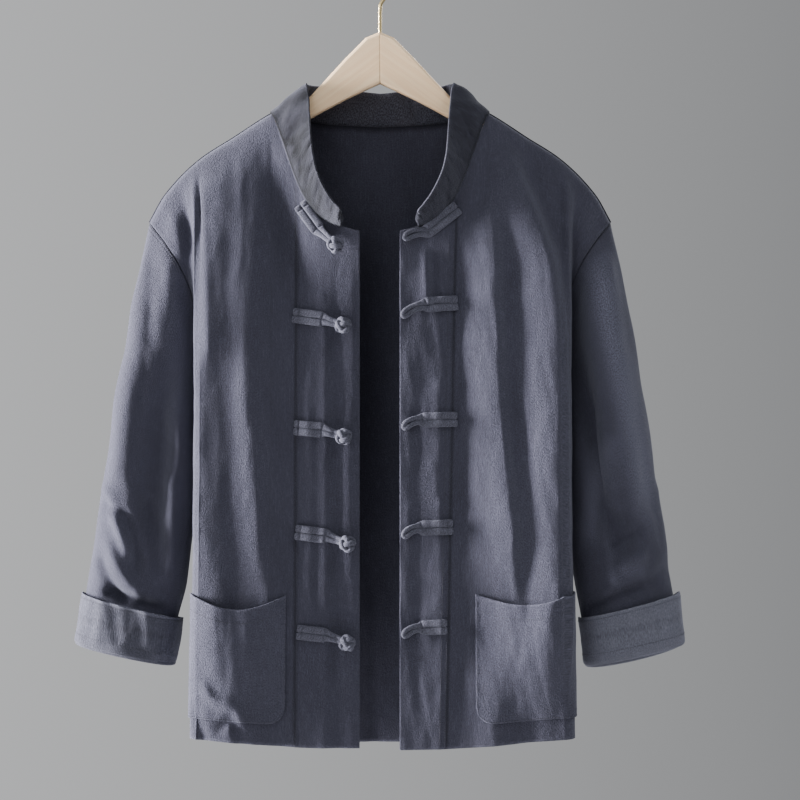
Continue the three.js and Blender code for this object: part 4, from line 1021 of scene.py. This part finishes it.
for n, row in enumerate(LOOPS, 1):
    legs = []
    for sign in (1, -1):
        centre, normal, half_width, half_height = strand_path(1, row, sign, shares, 2.2, 3.4, 2.4)
        rounded = np.sqrt(np.maximum(1 - (np.maximum(shares - 0.9, 0) / 0.1) ** 2, 0))[:, None]
        other = strand_path(1, row, -sign, shares, 2.2, 3.4, 2.4)[0]
        middle = (centre + other) / 2
        legs.append((middle + (centre - middle) * rounded, normal, half_width, half_height))
    join = [np.concatenate([first, second[-2::-1]]) for first, second in zip(*legs)]
    loop = tube_piece(f"loop_{n}_cord", [tube_mesh(*join)])
    finish_piece(loop, frog_cloth, "frog cord", f"loop_strip_{n}", f"loop_{n}")

# Stitching: machine lock stitch in matching thread, 2.6 mm to a stitch. It holds the plackets, the
# pockets' two rows and hemmed mouth, the cuffs, the armholes' two rows and the collar's three.
thread, tree, shader = new_material("shirt_thread")
spun = noise_node(tree, place_socket(tree, "Object"), (700, 700, 700), 2)
feed(tree, shader, {"Base Color": mix_node(tree, spun, (0.02, 0.02, 0.028, 1), (0.055, 0.056, 0.075, 1)),
                    "Roughness": scaled(tree, spun, 0.2, 0.6)})


def stitch_row(name, path, normal, slot, pitch=2.6, length=2.0, radius=0.22):
    """Stitches along a path: every pitch, a thread that bows out of the cloth as sin(pi t) over its
    length, in a section of four sides that is pinched at both ends."""
    run = length_along(path)
    count = int(run[-1] / pitch)
    t = np.linspace(0, 1, 4)
    at = (np.arange(count)[:, None] * pitch + 0.3 + length * t).ravel()
    place = np.stack([np.interp(at, run, path[:, n]) for n in range(3)], -1).reshape(count, 4, 3)
    up = np.stack([np.interp(at, run, normal[:, n]) for n in range(3)], -1).reshape(count, 4, 3)
    up /= np.linalg.norm(up, axis=-1, keepdims=True)
    right = np.cross(np.gradient(place, axis=1), up)
    right /= np.linalg.norm(right, axis=-1, keepdims=True)
    place = place + up * (0.05 + 0.2 * np.sin(np.pi * t))[None, :, None]
    angle = -np.linspace(0, 2 * np.pi, 4, endpoint=False)
    size = radius * np.array([0.4, 1, 1, 0.4])[None, :, None, None]
    section = right[:, :, None] * np.cos(angle)[:, None] + up[:, :, None] * np.sin(angle)[:, None]
    ring = place[:, :, None] + size * section
    n, i, j = np.meshgrid(np.arange(count), np.arange(3), np.arange(4), indexing="ij")
    first = n * 16
    quads = np.stack([first + i * 4 + j, first + i * 4 + (j + 1) % 4,
                      first + (i + 1) * 4 + (j + 1) % 4, first + (i + 1) * 4 + j], -1).reshape(-1, 4)
    ends = np.arange(count)[:, None] * 16 + np.array([3, 2, 1, 0])
    tips = np.arange(count)[:, None] * 16 + 12 + np.arange(4)
    row = new_piece(name, ring.reshape(-1, 3), quads.tolist() + ends.tolist() + tips.tolist())
    finish_piece(row, thread, slot)


for side, word in SIDES:
    down = np.linspace(318, 866, 260)
    edge = placket_edge(side, down)
    for n, inset in enumerate((2.0, 7.5) if side > 0 else (2.0,), 1):
        stitch_row(f"placket_stitches_{word}_{n}", *over_front(side, edge - inset, down), "shirt cloth")
    for n, inset in enumerate((1.8, 8.0), 1):
        inner_x, mouth, _, bottom = np.add(POCKETS[side], (inset, 0, 0, -inset))
        corner = np.linspace(0, np.pi / 2, 20)
        line_x = [np.full(80, inner_x), inner_x + 18 - 18 * np.cos(corner),
                  np.linspace(inner_x + 20, 240, 90)]
        line_down = [np.linspace(mouth + 8, bottom - 19, 80), bottom - 18 + 18 * np.sin(corner),
                     np.full(90, bottom)]
        line, normals = over_front(side, np.concatenate(line_x), np.concatenate(line_down), 0.9 + CLOTH)
        stitch_row(f"pocket_stitches_{word}_{n}", line, normals, "shirt cloth")
    across = np.linspace(0.02, 0.96, 160)
    hem_line, x, down = pocket_point(side, across, np.full(160, 0.12))
    stitch_row(f"pocket_mouth_stitches_{word}", hem_line, over_front(side, x, down)[1], "shirt cloth")

    a = np.linspace(0.03, 1.97, 500)
    for n, up in enumerate((0.62, 0.93), 1):
        rows = np.array([[up - 0.01], [up], [up + 0.01]]) + 0 * a
        grid, _ = cuff_grid(side, rows, np.tile(a, (3, 1)))
        normals = grid_normals(grid) * -side
        stitch_row(f"cuff_stitches_{word}_{n}", grid[1], normals[1], "trim cloth")
    for n, k in enumerate((0.009, 0.02), 1):
        rows = np.array([[k - 0.004], [k], [k + 0.004]]) + 0 * a
        grid, _, _ = dressed_sleeve(side, rows, np.tile(a, (3, 1)))
        normals = grid_normals(grid) * side
        stitch_row(f"armhole_stitches_{word}_{n}", grid[1], normals[1], "shirt cloth")

for n, up in enumerate((0.08, 0.2, 0.93), 1):
    line, near = [np.concatenate([collar_point(-1, half[2:], level + 0 * half[2:]),
                                  collar_point(1, half[-2:1:-1], level + 0 * half[3:])])
                  for level in (up, up + 0.02)]
    normals = np.cross(np.gradient(line, axis=0), near - line)
    outward = line - line.mean(0)
    normals *= np.sign(np.sum(normals * outward * (1, 1, 0), 1, keepdims=True))
    stitch_row(f"collar_stitches_{n}", line, normals, "trim cloth")

# Hanger: one flat board of pale maple, sawn to shape with its edges rounded over, waxed and not
# stained, so its long grain, its flecks and the glued joint at its middle show.
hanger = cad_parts["hanger"]
maple, wood, wood_shader = new_material("waxed_maple")
parts = add_node(wood, "SeparateXYZ", {0: place_socket(wood, "Object")})
arm = math_node(wood, "ABSOLUTE", parts.outputs["X"])
slope = math_node(wood, "ADD", parts.outputs["Z"], scaled(wood, arm, 0.72))
laid = {"X": parts.outputs["X"], "Y": parts.outputs["Y"], "Z": slope}
laid = add_node(wood, "CombineXYZ", laid).outputs[0]
growth = noise_node(wood, laid, (6, 60, 150), 3, 0.6)
pores = noise_node(wood, laid, (60, 300, 1500), 2, 0.5)
blush = noise_node(wood, laid, (9, 20, 22), 2, 0.5)
rings_of_growth = level_node(wood, growth, 0.35, 0.7)
grain = mix_node(wood, rings_of_growth, (1, 0.73, 0.45, 1), (0.93, 0.63, 0.36, 1))
specks = scaled(wood, level_node(wood, pores, 0.58, 0.75), 0.3)
grain = mix_node(wood, specks, grain, (0.55, 0.36, 0.2, 1))
grain = mix_node(wood, scaled(wood, blush, 0.35), grain, (1, 0.78, 0.53, 1))
joint = math_node(wood, "SUBTRACT", 1.0, level_node(wood, arm, 0.0003, 0.0011))
grain = mix_node(wood, scaled(wood, joint, 0.55), grain, (0.4, 0.24, 0.12, 1))
pitted = math_node(wood, "SUBTRACT", pores, joint)
feed(wood, wood_shader, {"Base Color": grain, "Roughness": scaled(wood, pores, 0.2, 0.36),
                         "Normal": bump_node(wood, pitted, 0.25, 0.0004), "Coat Weight": 0.15})
hanger.data.materials.clear()
hanger.data.materials.append(maple)

# Hook: brass wire, plated and a little scratched, driven into the top of the hanger and free to turn.
# Its crook runs most of a turn round the rail.
CROOK_RADIUS, CROOK_DOWN, WIRE_RADIUS = 21, 18.9, 2.1
crook = np.linspace(-0.3 * np.pi, 1.12 * np.pi, 10)
crook_line = np.stack([CROOK_RADIUS * np.cos(crook), CROOK_RADIUS * np.sin(crook) - CROOK_DOWN], 1)
wire_line = np.concatenate([[(0, -83.5), (0, -60), (0.3, -49), (4.5, -41)], crook_line])
wire_run = length_along(wire_line)
fine = np.linspace(0, wire_run[-1], 160)
rail_arc = fine > wire_run[4]
turned = crook[0] + (fine - wire_run[4]) / (wire_run[-1] - wire_run[4]) * (crook[-1] - crook[0])
stem_x, stem_z = [curve_at(wire_run[:5], column, fine) for column in wire_line[:5].T]
wire_x = np.where(rail_arc, CROOK_RADIUS * np.cos(turned), stem_x)
wire_z = np.where(rail_arc, CROOK_RADIUS * np.sin(turned) - CROOK_DOWN, stem_z)
wire_path = np.stack([wire_x, 0 * fine, wire_z], 1)
wire_path[1:-1] = (wire_path[:-2] + 2 * wire_path[1:-1] + wire_path[2:]) / 4
past = np.clip((fine - fine[-1]) / WIRE_RADIUS + 1, 0, 1)
size = WIRE_RADIUS * np.sqrt(np.maximum(1 - past**2, 0.02))
toward_back = np.tile((0.0, 1.0, 0.0), (len(fine), 1))
hook_wire = tube_piece("hook_wire", [tube_mesh(wire_path, toward_back, size, size, 24)])
brass, metal, brass_shader = new_material("plated_brass")
brass_place = place_socket(metal, "Object")
tarnish = noise_node(metal, brass_place, (120, 120, 60), 3, 0.6)
scratch = noise_node(metal, brass_place, (2500, 2500, 90), 2, 0.5)
dulled = level_node(metal, tarnish, 0.4, 0.75)
plated = mix_node(metal, dulled, (0.86, 0.68, 0.36, 1), (0.62, 0.46, 0.2, 1))
feed(metal, brass_shader, {"Base Color": plated, "Roughness": scaled(metal, scratch, 0.22, 0.16),
                           "Metallic": 1})
finish_piece(hook_wire, brass, "hook brass", "hook")
